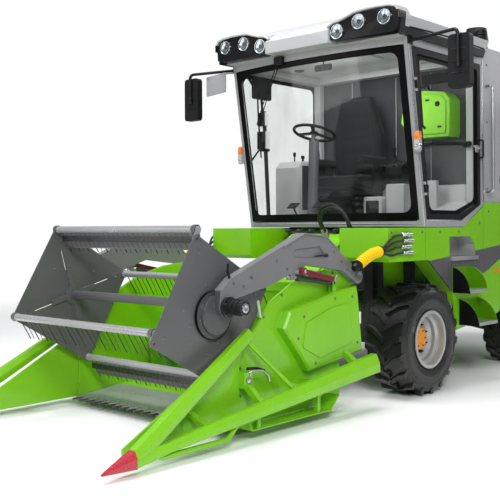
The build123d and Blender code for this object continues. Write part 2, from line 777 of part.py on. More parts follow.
# Roof: crowned both ways, with a bowed front edge over the lamps
roof_bottom = cab_top_z
roof_front = -400
roof_tail = cab_rear_y + 5
edge_z = roof_bottom + 145
pod_in = 330
pod_out = roof_half - 30
pod_back = -270
with BuildPart() as cab_roof:
    with BuildSketch(Plane.YZ):
        with BuildLine():
            Polyline((roof_front, roof_bottom), (roof_front - 10, roof_bottom + 95))
            ThreePointArc((roof_front - 10, roof_bottom + 95), (150, roof_bottom + roof_rise - 8),
                          (roof_tail, roof_bottom + 180))
            Polyline((roof_tail, roof_bottom + 180), (roof_tail, roof_bottom + 135),
                     (cab_rear_y - 60, roof_bottom),
                     (roof_front, roof_bottom))
        make_face()
    extrude(amount=roof_half, both=True)
    with BuildSketch(Plane.XZ.offset(600)):
        with BuildLine():
            Polyline((-roof_half, edge_z), (-roof_half + 15, roof_bottom - 5),
                     (roof_half - 15, roof_bottom - 5),
                     (roof_half, edge_z))
            ThreePointArc((roof_half, edge_z), (0, roof_bottom + roof_rise), (-roof_half, edge_z))
        make_face()
    extrude(amount=-2000, mode=Mode.INTERSECT)
    with BuildSketch(Plane.XY.offset(roof_bottom - 45)):
        with BuildLine():
            ThreePointArc((-roof_half, -320), (0, -412), (roof_half, -320))
            Polyline((roof_half, -320), (roof_half, 1100), (-roof_half, 1100), (-roof_half, -320))
        make_face()
    extrude(amount=500, mode=Mode.INTERSECT)
    for side in SIDES:
        add(block(both(side, pod_in, pod_out), (-460, pod_back), (roof_bottom - 5, roof_bottom + 180)),
            mode=Mode.SUBTRACT)
pieces["cab_roof"] = cab_roof

# Lamp pods at the roof's front corners, each with three round lamps in shrouds
LAMPS = (
    # distance from the middle, height over the roof's bottom
    (pod_in + 75, 80), (pod_in + 245, 123), (pod_out - 150, 123),
)
lamp_r = 47
shroud_r = 54
pod_face = -345
with BuildPart() as lamp_pods:
    for side in SIDES:
        with BuildSketch(Plane.XZ.offset(-pod_back)):
            with BuildLine():
                Polyline((side * pod_in, roof_bottom), (side * pod_out, roof_bottom),
                         (side * pod_out, roof_bottom + 135),
                         (side * (pod_out - 85), roof_bottom + 180),
                         (side * (pod_in + 230), roof_bottom + 180),
                         (side * pod_in, roof_bottom + 105), close=True)
            make_face()
        extrude(amount=pod_back - pod_face)
    for side in SIDES:
        for lamp_x, rise in LAMPS:
            x = side * lamp_x
            z = roof_bottom + rise
            add(rod((x, pod_face + 10, z), (x, pod_face - 30, z), shroud_r))
    for side in SIDES:
        for lamp_x, rise in LAMPS:
            x = side * lamp_x
            z = roof_bottom + rise
            add(rod((x, pod_face, z), (x, pod_face - 35, z), lamp_r + glass_fit), mode=Mode.SUBTRACT)
pieces["lamp_pods"] = lamp_pods
with BuildPart() as work_lamps:
    for side in SIDES:
        for lamp_x, rise in LAMPS:
            x = side * lamp_x
            z = roof_bottom + rise
            add(rod((x, pod_face, z), (x, pod_face - 24, z), lamp_r))
pieces["work_lamps"] = work_lamps

# Indicators on the front pillars and lamps at the rear
with BuildPart() as indicator_lamps:
    for side in SIDES:
        add(slab(((-80, 1870), (-80, 2030), (-34, 2030), (-34, 1870)), body_half, body_half + 40, side,
                 corner=22))
        add(block(both(side, hood_half - 130, hood_half - 20), (hood_end, hood_end + 20), (960, 1020)))
pieces["indicator_lamps"] = indicator_lamps

# Seat: suspension base, cushion and backrest
seat_x = -250
seat_y = 700
seat_z = 1650
back_t = 13
with BuildPart() as seat_base:
    add(block((seat_x - 190, seat_x + 190), (seat_y - 260, seat_y - 50), (glass_low, 1460)))
    for fold_z in range(1475, 1595, 24):
        add(block((seat_x - 160, seat_x + 160), (seat_y - 245, seat_y + 105), (fold_z - 15, fold_z)))
        add(block((seat_x - 145, seat_x + 145), (seat_y - 230, seat_y + 90), (fold_z - 2, fold_z + 10)))
    add(block((seat_x - 220, seat_x + 220), (seat_y - 230, seat_y + 202 + back_t), (seat_z - 70, seat_z)))
    add(block((seat_x - 180, seat_x + 180), (seat_y + 202.3, seat_y + 202 + back_t), (seat_z - 5, 1900)))
pieces["seat_base"] = seat_base
with BuildPart() as seat_pads:
    with BuildPart(mode=Mode.PRIVATE) as cushion:
        add(block((seat_x - 240, seat_x + 240), (seat_y - 250, seat_y + 190), (seat_z + 0.3, seat_z + 110)))
        fillet(cushion.edges().filter_by(Axis.Z) + cushion.edges().group_by(Axis.Z)[-1], 32)
    add(cushion.part)
    with BuildPart(mode=Mode.PRIVATE) as backrest:
        add(slab(((seat_y + 80, seat_z + 115), (seat_y + 120, 2480), (seat_y + 160, 2510),
                  (seat_y + 200, 2470),
                  (seat_y + 202, seat_z + 115)), seat_x - 235, seat_x + 235))
        fillet(backrest.edges().filter_by(Axis.X).group_by(Axis.Z)[-1], 18)
    add(backrest.part)
pieces["seat_pads"] = seat_pads

# Steering column, side console, post with its displays, and the green sample box on the rear wall
wheel_x = -250
wheel_y = 150
wheel_z = 2110
wheel_lean = 0.32
post_x = wall_t + 115 - body_half


def wheel_axis_point(distance):
    """Point on the steering wheel's axis, above or below its middle."""
    axis = Vector(0, wheel_lean, 1).normalized() * distance
    return (wheel_x + axis.X, wheel_y + axis.Y, wheel_z + axis.Z)


with BuildPart() as cab_controls:
    add(block((wheel_x - 90, wheel_x + 90), (30, 210), (glass_low, glass_low + 12)))
    add(rod((wheel_x, 120, glass_low + 6), (wheel_x, wheel_y, wheel_z - 60), 45))
    add(rod(wheel_axis_point(-90), wheel_axis_point(-0.3), 20))
    add(slab(((300, glass_low), (640, glass_low), (900, door_corner_z), (900, 1860), (860, 1900),
              (360, 1900), (300, 1840)),
             body_half - 85, body_half - 355, -1))
    add(block((post_x - 30, post_x + 30), (90, 150), (glass_low, glass_low + 12)))
    add(rod((post_x, 120, glass_low + 6), (post_x, 60, 2350), 18))
    add(block((post_x - 40, post_x + 70), (10, 60), (2000, 2160)))
    add(block((post_x - 30, post_x + 60), (5, 50), (2210, 2330)))
    add(block((400, 700), (820, cab_rear_y - wall_t), (2080, 2330)))
pieces["cab_controls"] = cab_controls
with BuildPart() as steering_wheel:
    wheel_tilt = Plane(origin=(wheel_x, wheel_y, wheel_z), z_dir=(0, wheel_lean, 1))
    with BuildSketch(wheel_tilt):
        Circle(38)
        for turn in (90, 210, 330):
            with Locations((105 * cos(radians(turn)), 105 * sin(radians(turn)))):
                Rectangle(150, 26, rotation=turn)
    extrude(amount=16)
    with BuildSketch(Plane(origin=wheel_tilt.origin, x_dir=wheel_tilt.x_dir, z_dir=-wheel_tilt.y_dir)):
        with Locations((182, 10)):
            Circle(13)
    revolve(axis=Axis(wheel_tilt.origin, wheel_tilt.z_dir))
pieces["steering_wheel"] = steering_wheel

# Mirrors on bent arms, rounded heads
mirror_x = body_half + 480
head_half = 87
with BuildPart() as mirrors:
    for side in SIDES:
        add(block(both(side, body_half, body_half + 14), (-168, -112), (cab_top_z - 57, cab_top_z - 5)))
        add(tube(((side * (body_half + 6), -140, cab_top_z - 30), (side * mirror_x, -262, cab_top_z - 30),
                  (side * mirror_x, -262, 2490)), 13, 40))
        head = ((side * (mirror_x - head_half), 2290), (side * (mirror_x - head_half), 2680),
                (side * (mirror_x + head_half), 2680), (side * (mirror_x + head_half), 2290))
        add(cross_slab(head, -250, -190, corner=28))
pieces["mirrors"] = mirrors

# Steps in the left side: a tread in the panel's niche, and two open treads between quarter-round ends
STEPS = (
    # front y, rear y, tread z, reach from the panel
    (490, 797, 775, 160),
    (590, 915, 505, 187),
)
step_high = 185
end_t = 6
rail_y = 1095
with BuildPart() as steps:
    add(slab(((niche_front + 6, niche_low + sheet_t), (niche_rear - 10, niche_low + sheet_t),
              (niche_rear - 10, niche_low + 10),
              (niche_front + 6, niche_low + 10)), body_half - niche_depth + 10, body_half + 25))
    add(slab(((niche_front + 6, niche_low - 22), (niche_rear - 10, niche_low - 22),
              (niche_rear - 10, niche_low + 10),
              (niche_front + 6, niche_low + 10)), body_half, body_half + 25))
    for front, rear, tread_z, reach in STEPS:
        outer_x = body_half + reach
        add(block((body_half, outer_x), (front, rear), (tread_z - 8, tread_z)))
        add(slab(((front, tread_z - 26), (front, tread_z), (rear, tread_z), (rear, tread_z - 26)),
                 outer_x - 8, outer_x))
        add(block((body_half, body_half + 5), (front, rear), (tread_z - 20, tread_z + step_high)))
        for end in (front, rear - end_t):
            with BuildSketch(Plane.XZ.offset(-end)):
                with BuildLine():
                    Line((body_half, tread_z + step_high), (body_half, tread_z - 26))
                    Line((body_half, tread_z - 26), (outer_x - 6, tread_z - 26))
                    Line((outer_x - 6, tread_z - 26), (outer_x - 6, tread_z))
                    ThreePointArc((outer_x - 6, tread_z),
                                  (body_half + 0.66 * reach, tread_z + 0.66 * step_high),
                                  (body_half, tread_z + step_high))
                make_face()
            extrude(amount=-end_t)
pieces["steps"] = steps

# Grab rail beside the door
grab_out = 60
with BuildPart() as grab_rail:
    add(tube(((upper_half, rail_y, 1590), (body_half + grab_out, rail_y, 1590),
              (body_half + grab_out, rail_y, 2510),
              (upper_half, rail_y, 2510)), 13, 35))
pieces["grab_rail"] = grab_rail

# Air intake with its cap, and the exhaust with its cut end
intake = (720, 1290)
exhaust = (-720, 1700)
pipe_top = upper_top + 220
with BuildPart() as engine_pipes:
    add(rod((*intake, upper_top), (*intake, pipe_top - 60), 60))
    with BuildSketch(Plane.XY.offset(pipe_top - 110)):
        with Locations(intake):
            Circle(105)
    extrude(amount=110, taper=8)
    add(rod((*exhaust, upper_top), (*exhaust, upper_top + 90), 58))
    add(rod((*exhaust, upper_top + 80), (*exhaust, pipe_top), 42))
    add(rod((*exhaust, upper_top + 120), (*exhaust, pipe_top + 5), 37), mode=Mode.SUBTRACT)
pieces["engine_pipes"] = engine_pipes

# Feeder house, hinged on a round end in front of the threshing housing, with stiffening ribs on its sides
FEEDER = ((-150, 1205), (wall_y, 640), (wall_y, 215), (-150, 975))
feeder_round = 148
with BuildPart() as feeder_house:
    add(slab(FEEDER, -feeder_half, feeder_half))
    add(disc(-feeder_half, feeder_half, lift_y, lift_z, feeder_round))
    add(disc(-rail_in - rail_w + 5, rail_in + rail_w - 5, lift_y, lift_z, lift_shaft_r))
    add(slab(((wall_y, 190), (wall_y, 670), (wall_y + 45, 640), (wall_y + 45, 240)), -feeder_half - 25,
             feeder_half + 25))
    for side in SIDES:
        add(slab(((-250, 1105), (-880, 665), (-880, 640), (-250, 1080)), feeder_half - 5, feeder_half + 14,
                 side))
        add(slab(((-250, 935), (-880, 330), (-880, 305), (-250, 910)), feeder_half - 5, feeder_half + 14,
                 side))
    eye_y, eye_z = lift_eye
    for side in SIDES:
        for ear in (-lift_ear_in - ear_t, lift_ear_in):
            ear_x = both(1, side * lift_x + ear, side * lift_x + ear + ear_t)
            add(block(ear_x, (eye_y - 28, eye_y + 28), (eye_z - 26, eye_z + 110)))
        add(disc(side * lift_x - 27, side * lift_x + 27, *lift_eye, lift_pin_r))
pieces["feeder_house"] = feeder_house

# Header table: floor, round trough under the auger, rear wall with the feeder's opening, top beam and skids
trough_r = auger_r + trough_gap
table_top = 830
beam_w = 70
with BuildPart() as header_table:
    with BuildSketch(Plane.YZ):
        with BuildLine():
            floor_y = auger_y - trough_r * sin(radians(50))
            floor_z = auger_z - trough_r * cos(radians(50))
            Polyline((knife_y, header_floor_z), (auger_y - 330, header_floor_z + 40), (floor_y, floor_z))
            ThreePointArc((floor_y, floor_z), (auger_y, auger_z - trough_r), (auger_y + trough_r, auger_z))
            Polyline((auger_y + trough_r, auger_z), (auger_y + trough_r, table_top), (wall_y, table_top),
                     (wall_y, 100),
                     (auger_y, 80), (knife_y, header_floor_z - 12), (knife_y, header_floor_z))
        make_face()
    extrude(amount=side_in, both=True)
    add(block((-feeder_half + 20, feeder_half - 20), (auger_y + 100, wall_y + 5), (auger_z - 120, 620)),
        mode=Mode.SUBTRACT)
    add(block((-side_in, side_in), (wall_y - beam_w / 2, wall_y + beam_w / 2),
              (table_top - 10, table_top + beam_w - 10)))
    for x in (-560, 560):
        add(slab(((wall_y - 5, 690), (wall_y + 32, 690), (wall_y + 32, 130), (wall_y - 5, 110)), x - 30,
                 x + 30))
    for side in SIDES:
        add(slab(((-1700, 75), (-1640, 30), (-1150, 30), (-1080, 95), (-1090, 100), (-1155, 38),
                  (-1635, 38), (-1690, 83)),
                 560, 680, side))
pieces["header_table"] = header_table

# Header sides: sheets with an arc-shaped top and a folded lip, the drive's covers and the cylinders' ears
SIDE = ((-1980, 45), (-1980, 430), (-1750, 660), (-1611, 817), (-1394, 924), (-1133, 986), (-925, 1005),
        (-700, 1005), (-680, 940), (-700, 880), (-860, 860), (-880, 90), (-1560, 45))
SIDE_LIP = SIDE[2:8]
COVER = ((-1560, 640), (-1500, 745), (-1009, 846), (-757, 872), (-740, 800), (-690, 404), (-1300, 330),
         (-1400, 459))
cover_w = 75
lip_w = 7
with BuildPart() as header_sides:
    for side in SIDES:
        add(slab(SIDE, side_in, sheet_out, side))
        add(lip(SIDE_LIP, sheet_out - 5, sheet_out + lip_w, sheet_t + 2, side))
        with BuildPart(mode=Mode.PRIVATE) as cover:
            add(slab(COVER, sheet_out, sheet_out + cover_w, side))
            outer_face = cover.faces().sort_by(Axis.X)[-1 if side > 0 else 0]
            chamfer(outer_face.edges(), 14)
        add(cover.part)
        add(slab(((-1380, 500), (-1340, 660), (-1060, 740), (-860, 760), (-830, 480), (-1200, 410)),
                 sheet_out + cover_w - 2, sheet_out + cover_w + 8, side, corner=20))
        for ear in (-reel_ear_in - ear_t, reel_ear_in):
            ear_x = both(1, side * reel_ram_x + ear, side * reel_ram_x + ear + ear_t)
            add(block(ear_x, (reel_foot[0] - 20, reel_foot[0] + 20), (830, reel_foot[1] + 20)))
    for side in SIDES:
        add(disc(side * (side_in - 10), side * (sheet_out + 5), arm_pivot_y, arm_pivot_z,
                 torsion_r + torsion_fit),
            mode=Mode.SUBTRACT)
        add(disc(side * (side_in - 10), side * sheet_out, auger_y, auger_z, auger_shaft_r + shaft_fit),
            mode=Mode.SUBTRACT)
        add(disc(side * reel_ram_x - 30, side * reel_ram_x + 30, *reel_foot, reel_pin_r + pin_fit),
            mode=Mode.SUBTRACT)
pieces["header_sides"] = header_sides

# Dividers: inner sheet under a tapered ridge, outer bar that widens to the rear, lower tube, braces and skid
ridge_x = sheet_out + 47
outer_bar_x = side_in + 195
INNER_SHEET = ((-1920, 60), (-1920, 470), (-1870, 530), (-1870, 600), (tip_base_y + 60, 100),
               (tip_base_y + 60, 60))
with BuildPart() as dividers:
    for side in SIDES:
        add(ridge((side * tip_x, tip_base_y, 88), (side * ridge_x, -1870, 640), (86, 86), (58, 64)))
        add(ridge((side * tip_x, tip_base_y, 80), (side * outer_bar_x, -2620, 112), (86, 70), (50, 50)))
        add(ridge((side * outer_bar_x, -2640, 110), (side * outer_bar_x, -700, 330), (52, 54), (92, 128)))
        add(slab(INNER_SHEET, sheet_out, sheet_out + 12, side))
        add(tube(((side * outer_bar_x, -2760, 85), (side * outer_bar_x, -2700, 60),
                  (side * outer_bar_x, -2200, 60),
                  (side * outer_bar_x, -2080, 165)), 16, 40))
        add(bar((side * (sheet_out + 8), -2340, 215), (side * outer_bar_x, -2340, 148), 44, 26))
        add(slab(((-2400, 60), (-2400, 175), (-2290, 230), (-2290, 60)), sheet_out + 10, sheet_out + 16,
                 side))
        add(bar((side * (sheet_out + 15), -1890, 344), (side * outer_bar_x, -1890, 205), 40, 40))
        add(rod((side * (ridge_x + 4), -1900, 600), (side * outer_bar_x, -1560, 240), 14))
        add(block(both(side, sheet_out, sheet_out + 60), (-1925, -1850), (300, 400)))
        cover_x = sheet_out + cover_w
        add(cross_slab(((side * cover_x, 425), (side * cover_x, 380), (side * outer_bar_x, 290),
                        (side * outer_bar_x, 350)),
                       -925, -875))
        add(bar((side * (sheet_out + 4), -1300, 255), (side * outer_bar_x, -1300, 265), 46, 30))
        add(slab(((-2000, 150), (-1960, 62), (-1180, 62), (-1090, 150), (-1095, 158), (-1184, 70),
                  (-1956, 70), (-1992, 156)), sheet_out + 30, outer_bar_x - 20, side))
        for hold_y in (-1890, -1300):
            add(block(both(side, outer_bar_x - 60, outer_bar_x - 30), (hold_y - 15, hold_y + 15),
                      (66, 262)))
        add(block(both(side, tip_x - 100, tip_x + 100), (tip_y, tip_base_y), (0, 200)), mode=Mode.SUBTRACT)
pieces["dividers"] = dividers
tip_sole_z = 40
with BuildPart() as divider_tips:
    for side in SIDES:
        with BuildSketch(Plane(origin=(side * tip_x, tip_base_y, 88), x_dir=(1, 0, 0), z_dir=(0, -1, 0))):
            with BuildLine():
                Polyline((-46, -46), (-46, 8), (-24, 46), (24, 46), (46, 8), (46, -46), close=True)
            make_face()
        with BuildSketch(Plane(origin=(side * tip_x, tip_y, tip_sole_z + 6), x_dir=(1, 0, 0),
                               z_dir=(0, -1, 0))):
            with BuildLine():
                Polyline((-6, -6), (-6, 1), (-3, 6), (3, 6), (6, 1), (6, -6), close=True)
            make_face()
        loft()
pieces["divider_tips"] = divider_tips

# Cutter bar: finger guards on a beam, a bright strip behind them, and the toothed knife on top
guard_pitch = 76
guard_count = int(2 * side_in / guard_pitch)
tooth_h = 52
with BuildPart() as cutter_bar:
    add(block((-side_in, side_in), (knife_y - 25, knife_y), (50, 66)))
    with BuildSketch(Plane.XY.offset(54)):
        for index in range(guard_count):
            x = (index - (guard_count - 1) / 2) * guard_pitch
            with BuildLine():
                Polyline((x - 15, knife_y - 20), (x + 15, knife_y - 20), (x + 9, knife_y - 70),
                         (x + 3, knife_y - 112),
                         (x - 3, knife_y - 112), (x - 9, knife_y - 70), close=True)
            make_face()
    extrude(amount=14)
    add(block((-side_in, side_in), (knife_y - 30, knife_y - 2), (66, 71)))
    with BuildSketch(Plane.XY.offset(68)):
        for index in range(guard_count):
            x = (index - (guard_count - 1) / 2) * guard_pitch
            with BuildLine():
                Polyline((x - 36, knife_y - 28), (x + 36, knife_y - 28), (x + 7, knife_y - 28 - tooth_h),
                         (x - 7, knife_y - 28 - tooth_h), close=True)
            make_face()
    extrude(amount=3)
pieces["cutter_bar"] = cutter_bar

# Header auger: core with flights that bring the crop to the middle, and the fingers between them
flight_start = 190
flight_run = side_in - 25 - flight_start
flight_in = auger_core_r - 4
finger_r = 6
with BuildPart() as header_auger:
    add(disc(-side_in + 20, side_in - 20, auger_y, auger_z, auger_core_r))
    add(disc(-side_in - side_t + 2, side_in + side_t - 2, auger_y, auger_z, auger_shaft_r))
    with BuildPart(mode=Mode.PRIVATE) as flight:
        helix_plane = (flight_start, auger_y, auger_z)
        with BuildLine(mode=Mode.PRIVATE) as winding:
            Helix(flight_pitch, flight_run, (auger_r + flight_in) / 2, center=helix_plane,
                  direction=(1, 0, 0))
        start = winding.line @ 0
        outward = Vector(0, start.Y - auger_y, start.Z - auger_z)
        with BuildSketch(Plane(origin=start, x_dir=outward, z_dir=winding.line % 0)):
            Rectangle(auger_r - flight_in, flight_t)
        sweep(path=winding.line, is_frenet=True)
    add(flight.part)
    add(mirror(flight.part, about=Plane.YZ, mode=Mode.PRIVATE))
    for index in range(4):
        turn = radians(90 * index + 30)
        x = 90 * (index - 1.5)
        add(rod((x, auger_y, auger_z), (x, auger_y + (auger_r - 12) * cos(turn),
                                        auger_z + (auger_r - 12) * sin(turn)), finger_r))
pieces["header_auger"] = header_auger

# Reel arms with the torsion tube, stub shafts for the reel, and the left arm's eccentric boss
ARM = ((-2124, 923), (-2039, 990), (-1345, 1256), (-1118, 1236), (-700, 960), (-690, 920), (-740, 890),
       (-923, 990),
       (-1314, 1040), (-1681, 927), (-2075, 848))
ARM_CUT = ((-1460, 1090), (-1440, 1150), (-1180, 1165), (-1120, 1105), (-1250, 1085))
control_y = reel_y + control_offset[0]
control_z = reel_z + control_offset[1]
arm_hub_r = 60
arm_pivot_r = 52
motor_r = 45
boss_end = control_x - 7
flange_x = side_in - 8
with BuildPart() as reel_arms:
    for side in SIDES:
        add(slab(ARM, arm_in, arm_in + arm_t, side))
        add(disc(side * arm_in, side * (arm_in + arm_t), reel_y, reel_z, arm_hub_r))
        add(disc(side * arm_in, side * (arm_in + arm_t), arm_pivot_y, arm_pivot_z, arm_pivot_r))
        add(slab(((reel_y - arm_hub_r, reel_z), (-2124, 923), (-2000, 880), (reel_y + arm_hub_r, reel_z)),
                 arm_in, arm_in + arm_t,
                 side))
        add(slab(((-1560, 1172), (-1345, 1256), (-1118, 1236), (-980, 1146), (-985, 1138), (-1121, 1228),
                  (-1343, 1248),
                  (-1556, 1164)), arm_in - 12, arm_in + arm_t + 12, side))
        for ear in (-reel_ear_in - ear_t, reel_ear_in):
            ear_x = both(1, side * reel_ram_x + ear, side * reel_ram_x + ear + ear_t)
            add(block(ear_x, (reel_eye[0] - 20, reel_eye[0] + 20), (reel_eye[1] - 20, reel_eye[1] + 70)))
    for side in SIDES:
        add(slab(ARM_CUT, arm_in + arm_t - 14, arm_in + arm_t + 2, side, corner=14), mode=Mode.SUBTRACT)
    add(disc(-arm_in - 5, arm_in + 5, arm_pivot_y, arm_pivot_z, torsion_r))
    for side in SIDES:
        add(disc(side * reel_ram_x - 24, side * reel_ram_x + 24, *reel_eye, reel_pin_r))
        add(disc(side * (plate_x - stub_depth), side * (arm_in + 5), reel_y, reel_z, shaft_r))
    add(disc(boss_end, arm_in + 5, control_y, control_z, control_boss_r))
    add(disc(flange_x, flange_x + 8, control_y, control_z, control_flange_r))
    add(disc(arm_in + arm_t, arm_in + arm_t + 150, reel_y, reel_z, motor_r))
    add(disc(arm_in + arm_t, arm_in + arm_t + 24, reel_y, reel_z, motor_r + 18))
pieces["reel_arms"] = reel_arms


# Reel: a slit plate on the right and four arms on the left, with the bats' bearings at their ends
def bat_place(index):
    """Y and Z of a bat's axis; the first is in front, the others follow over the top."""
    turn = radians(bat_lead + 360 / bat_count * index)
    return reel_y - bat_circle * cos(turn), reel_z + bat_circle * sin(turn)


def spoke_point(index, reach, across=0):
    """Y and Z of a point on the line from the reel's axis towards a bat, with a shift across it."""
    turn = radians(bat_lead + 360 / bat_count * index)
    return (reel_y - reach * cos(turn) - across * sin(turn),
            reel_z + reach * sin(turn) - across * cos(turn))


spoke_w = 62
hub_r = 70
slit_w = 26
corner_cut = 24
CORNERS = [spoke_point(index, bat_circle + 8, way * corner_cut) for index in range(bat_count)
           for way in (1, -1)]
with BuildPart() as reel_frame:
    add(slab(CORNERS, plate_x - plate_t / 2, plate_x + plate_t / 2, -1))
    for index in range(bat_count):
        slit = [spoke_point(index, reach, across * slit_w / 2)
                for reach, across in ((150, -1), (330, -1), (330, 1), (150, 1))]
        add(slab(slit, plate_x - plate_t, plate_x + plate_t, -1), mode=Mode.SUBTRACT)
    for index in range(bat_count):
        spoke = [spoke_point(index, reach, across * spoke_w / 2)
                 for reach, across in ((20, -1), (bat_circle, -0.7), (bat_circle, 0.7), (20, 1))]
        add(slab(spoke, plate_x - plate_t / 2, plate_x + plate_t / 2))
        bracket = [spoke_point(index, reach, across * spoke_w / 2)
                   for reach, across in ((20, -0.6), (190, -0.6), (190, 0.6), (20, 0.6))]
        add(slab(bracket, plate_x - 22, plate_x - plate_t / 2, -1))
    for side in SIDES:
        for index in range(bat_count):
            add(disc(side * (plate_x - bearing_half), side * (plate_x + bearing_half), *bat_place(index),
                     bearing_r))
        add(disc(side * (plate_x - 20), side * (plate_x + 8), reel_y, reel_z, hub_r))
    for side in SIDES:
        for index in range(bat_count):
            bore = (side * (plate_x - 2 * bearing_half), side * (plate_x + 2 * bearing_half))
            add(disc(*bore, *bat_place(index), bat_r + bat_fit), mode=Mode.SUBTRACT)
    add(disc(-plate_x, plate_x, reel_y, reel_z, reel_tube_r))
    for side in SIDES:
        bore_in = side * (plate_x - stub_depth - 10)
        add(disc(bore_in, side * (plate_x + 15), reel_y, reel_z, shaft_r + shaft_fit), mode=Mode.SUBTRACT)
pieces["reel_frame"] = reel_frame

# Control plate: turns on the eccentric boss and holds the bats' cranks, so the tines always hang the same way
control_t = 6
control_half = 8
with BuildPart() as control_plate:
    with Locations((0, control_offset[0], control_offset[1])):
        add(slab(CORNERS, control_x - control_t / 2, control_x + control_t / 2))
    for index in range(bat_count):
        pin_y, pin_z = bat_place(index)
        add(disc(control_x - control_half, control_x + control_half, pin_y + control_offset[0],
                 pin_z + control_offset[1], 24))
    add(disc(control_x - control_half, control_x + control_half, control_y, control_z, control_boss_r + 16))
    for index in range(bat_count):
        pin_y, pin_z = bat_place(index)
        add(disc(control_x - 20, control_x + 20, pin_y + control_offset[0], pin_z + control_offset[1],
                 crank_pin_r + control_fit), mode=Mode.SUBTRACT)
    add(disc(control_x - 20, control_x + 20, control_y, control_z, control_boss_r + control_fit),
        mode=Mode.SUBTRACT)
pieces["control_plate"] = control_plate

# Bats: a tube with its crank and tines, and a board under the top and the bottom one
tine_margin = 40
tine_step = 2 * (plate_x - tine_margin) / (tine_count - 1)
fall_y = sin(radians(tine_angle))
fall_z = -cos(radians(tine_angle))
coil_r = bat_r + 5
crank_w = 34
crank_mid = crank_x + crank_t / 2
board_drop = 50
board_t = 4
for index in range(bat_count):
    bat_y, bat_z = bat_place(index)
    pin_y = bat_y + control_offset[0]
    pin_z = bat_z + control_offset[1]
    with BuildPart() as bat:
        add(disc(-plate_x - 26, crank_x + crank_t, bat_y, bat_z, bat_r))
        add(disc(crank_x, crank_x + crank_t, bat_y, bat_z, crank_w / 2 + 4))
        add(disc(crank_x, crank_x + crank_t, pin_y, pin_z, crank_w / 2))
        add(bar((crank_mid, bat_y, bat_z), (crank_mid, pin_y, pin_z), crank_t, crank_w - 6))
        add(disc(crank_x, control_x + control_half, pin_y, pin_z, crank_pin_r))
        for tine in range(tine_count):
            x = -plate_x + tine_margin + tine * tine_step
            tine_end = (x, bat_y + tine_len * fall_y, bat_z + tine_len * fall_z)
            add(bar((x, bat_y, bat_z), tine_end, tine_w, tine_w))
            add(disc(x - 9, x + 9, bat_y, bat_z, coil_r))
        if index % 2:
            board_y = bat_y + board_drop * fall_y
            board_z = bat_z + board_drop * fall_z
            add(bar((-plate_x + 25, board_y, board_z), (plate_x - 25, board_y, board_z), board_t, board_h))
    pieces[f"reel_bat_{index + 1}"] = bat


# Cylinders: barrels on pins at the foot, rods with a wide eye round the pin at the other end
CYLINDERS = (
    # name, x, foot, eye, barrel radius, rod radius, pin radius, half gap between the ears, play at the eye
    ("lift", lift_x, lift_foot, lift_eye, 32, 18, lift_pin_r, lift_ear_in, lift_eye_gap),
    ("reel", reel_ram_x, reel_foot, reel_eye, 20, 10, reel_pin_r, reel_ear_in, reel_eye_gap),
)
rod_fit = 0.5
eye_ring = 8
gland = 26
for name, ram_x, foot, eye, barrel_r, rod_r, pin_r, ear_in, eye_gap in CYLINDERS:
    reach = hypot(eye[0] - foot[0], eye[1] - foot[1])
    dir_y = (eye[0] - foot[0]) / reach
    dir_z = (eye[1] - foot[1]) / reach
    barrel_start = 2 * barrel_r
    barrel_end = reach - 60

    def along(x, distance):
        """Point on the cylinder's middle line, measured from its foot."""
        return (x, foot[0] + distance * dir_y, foot[1] + distance * dir_z)

    with BuildPart() as barrels:
        for side in SIDES:
            x = side * ram_x
            add(rod(along(x, barrel_start), along(x, barrel_end), barrel_r))
            add(rod(along(x, barrel_end - gland), along(x, barrel_end - 4), barrel_r + 3))
            add(rod(along(x, 0), along(x, barrel_start + 5), pin_r))
            add(disc(x - ear_in + 1, x + ear_in - 1, *foot, pin_r + eye_ring))
            add(disc(x - ear_in - ear_t - 4, x + ear_in + ear_t + 4, *foot, pin_r))
        for side in SIDES:
            x = side * ram_x
            add(rod(along(x, barrel_start + 15), along(x, barrel_end + 5), rod_r + rod_fit),
                mode=Mode.SUBTRACT)
    pieces[f"{name}_barrels"] = barrels
    with BuildPart() as rods:
        for side in SIDES:
            x = side * ram_x
            add(rod(along(x, barrel_start + 30), along(x, reach - 40), rod_r))
            add(rod(along(x, reach - 45), along(x, reach - pin_r - eye_gap - 1), min(rod_r, ear_in - 3)))
            add(disc(x - ear_in + 1, x + ear_in - 1, *eye, pin_r + eye_gap + eye_ring))
        for side in SIDES:
            add(disc(side * ram_x - ear_in, side * ram_x + ear_in, *eye, pin_r + eye_gap),
                mode=Mode.SUBTRACT)
    pieces[f"{name}_rods"] = rods

for name, piece in pieces.items():
    piece.part.label = name
    export_step(piece.part, f"parts/{name}.step")
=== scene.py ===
"""Looks of the small combine harvester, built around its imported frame. Metres, same frame as the part."""
import json
from math import cos, pi, radians, sin, sqrt

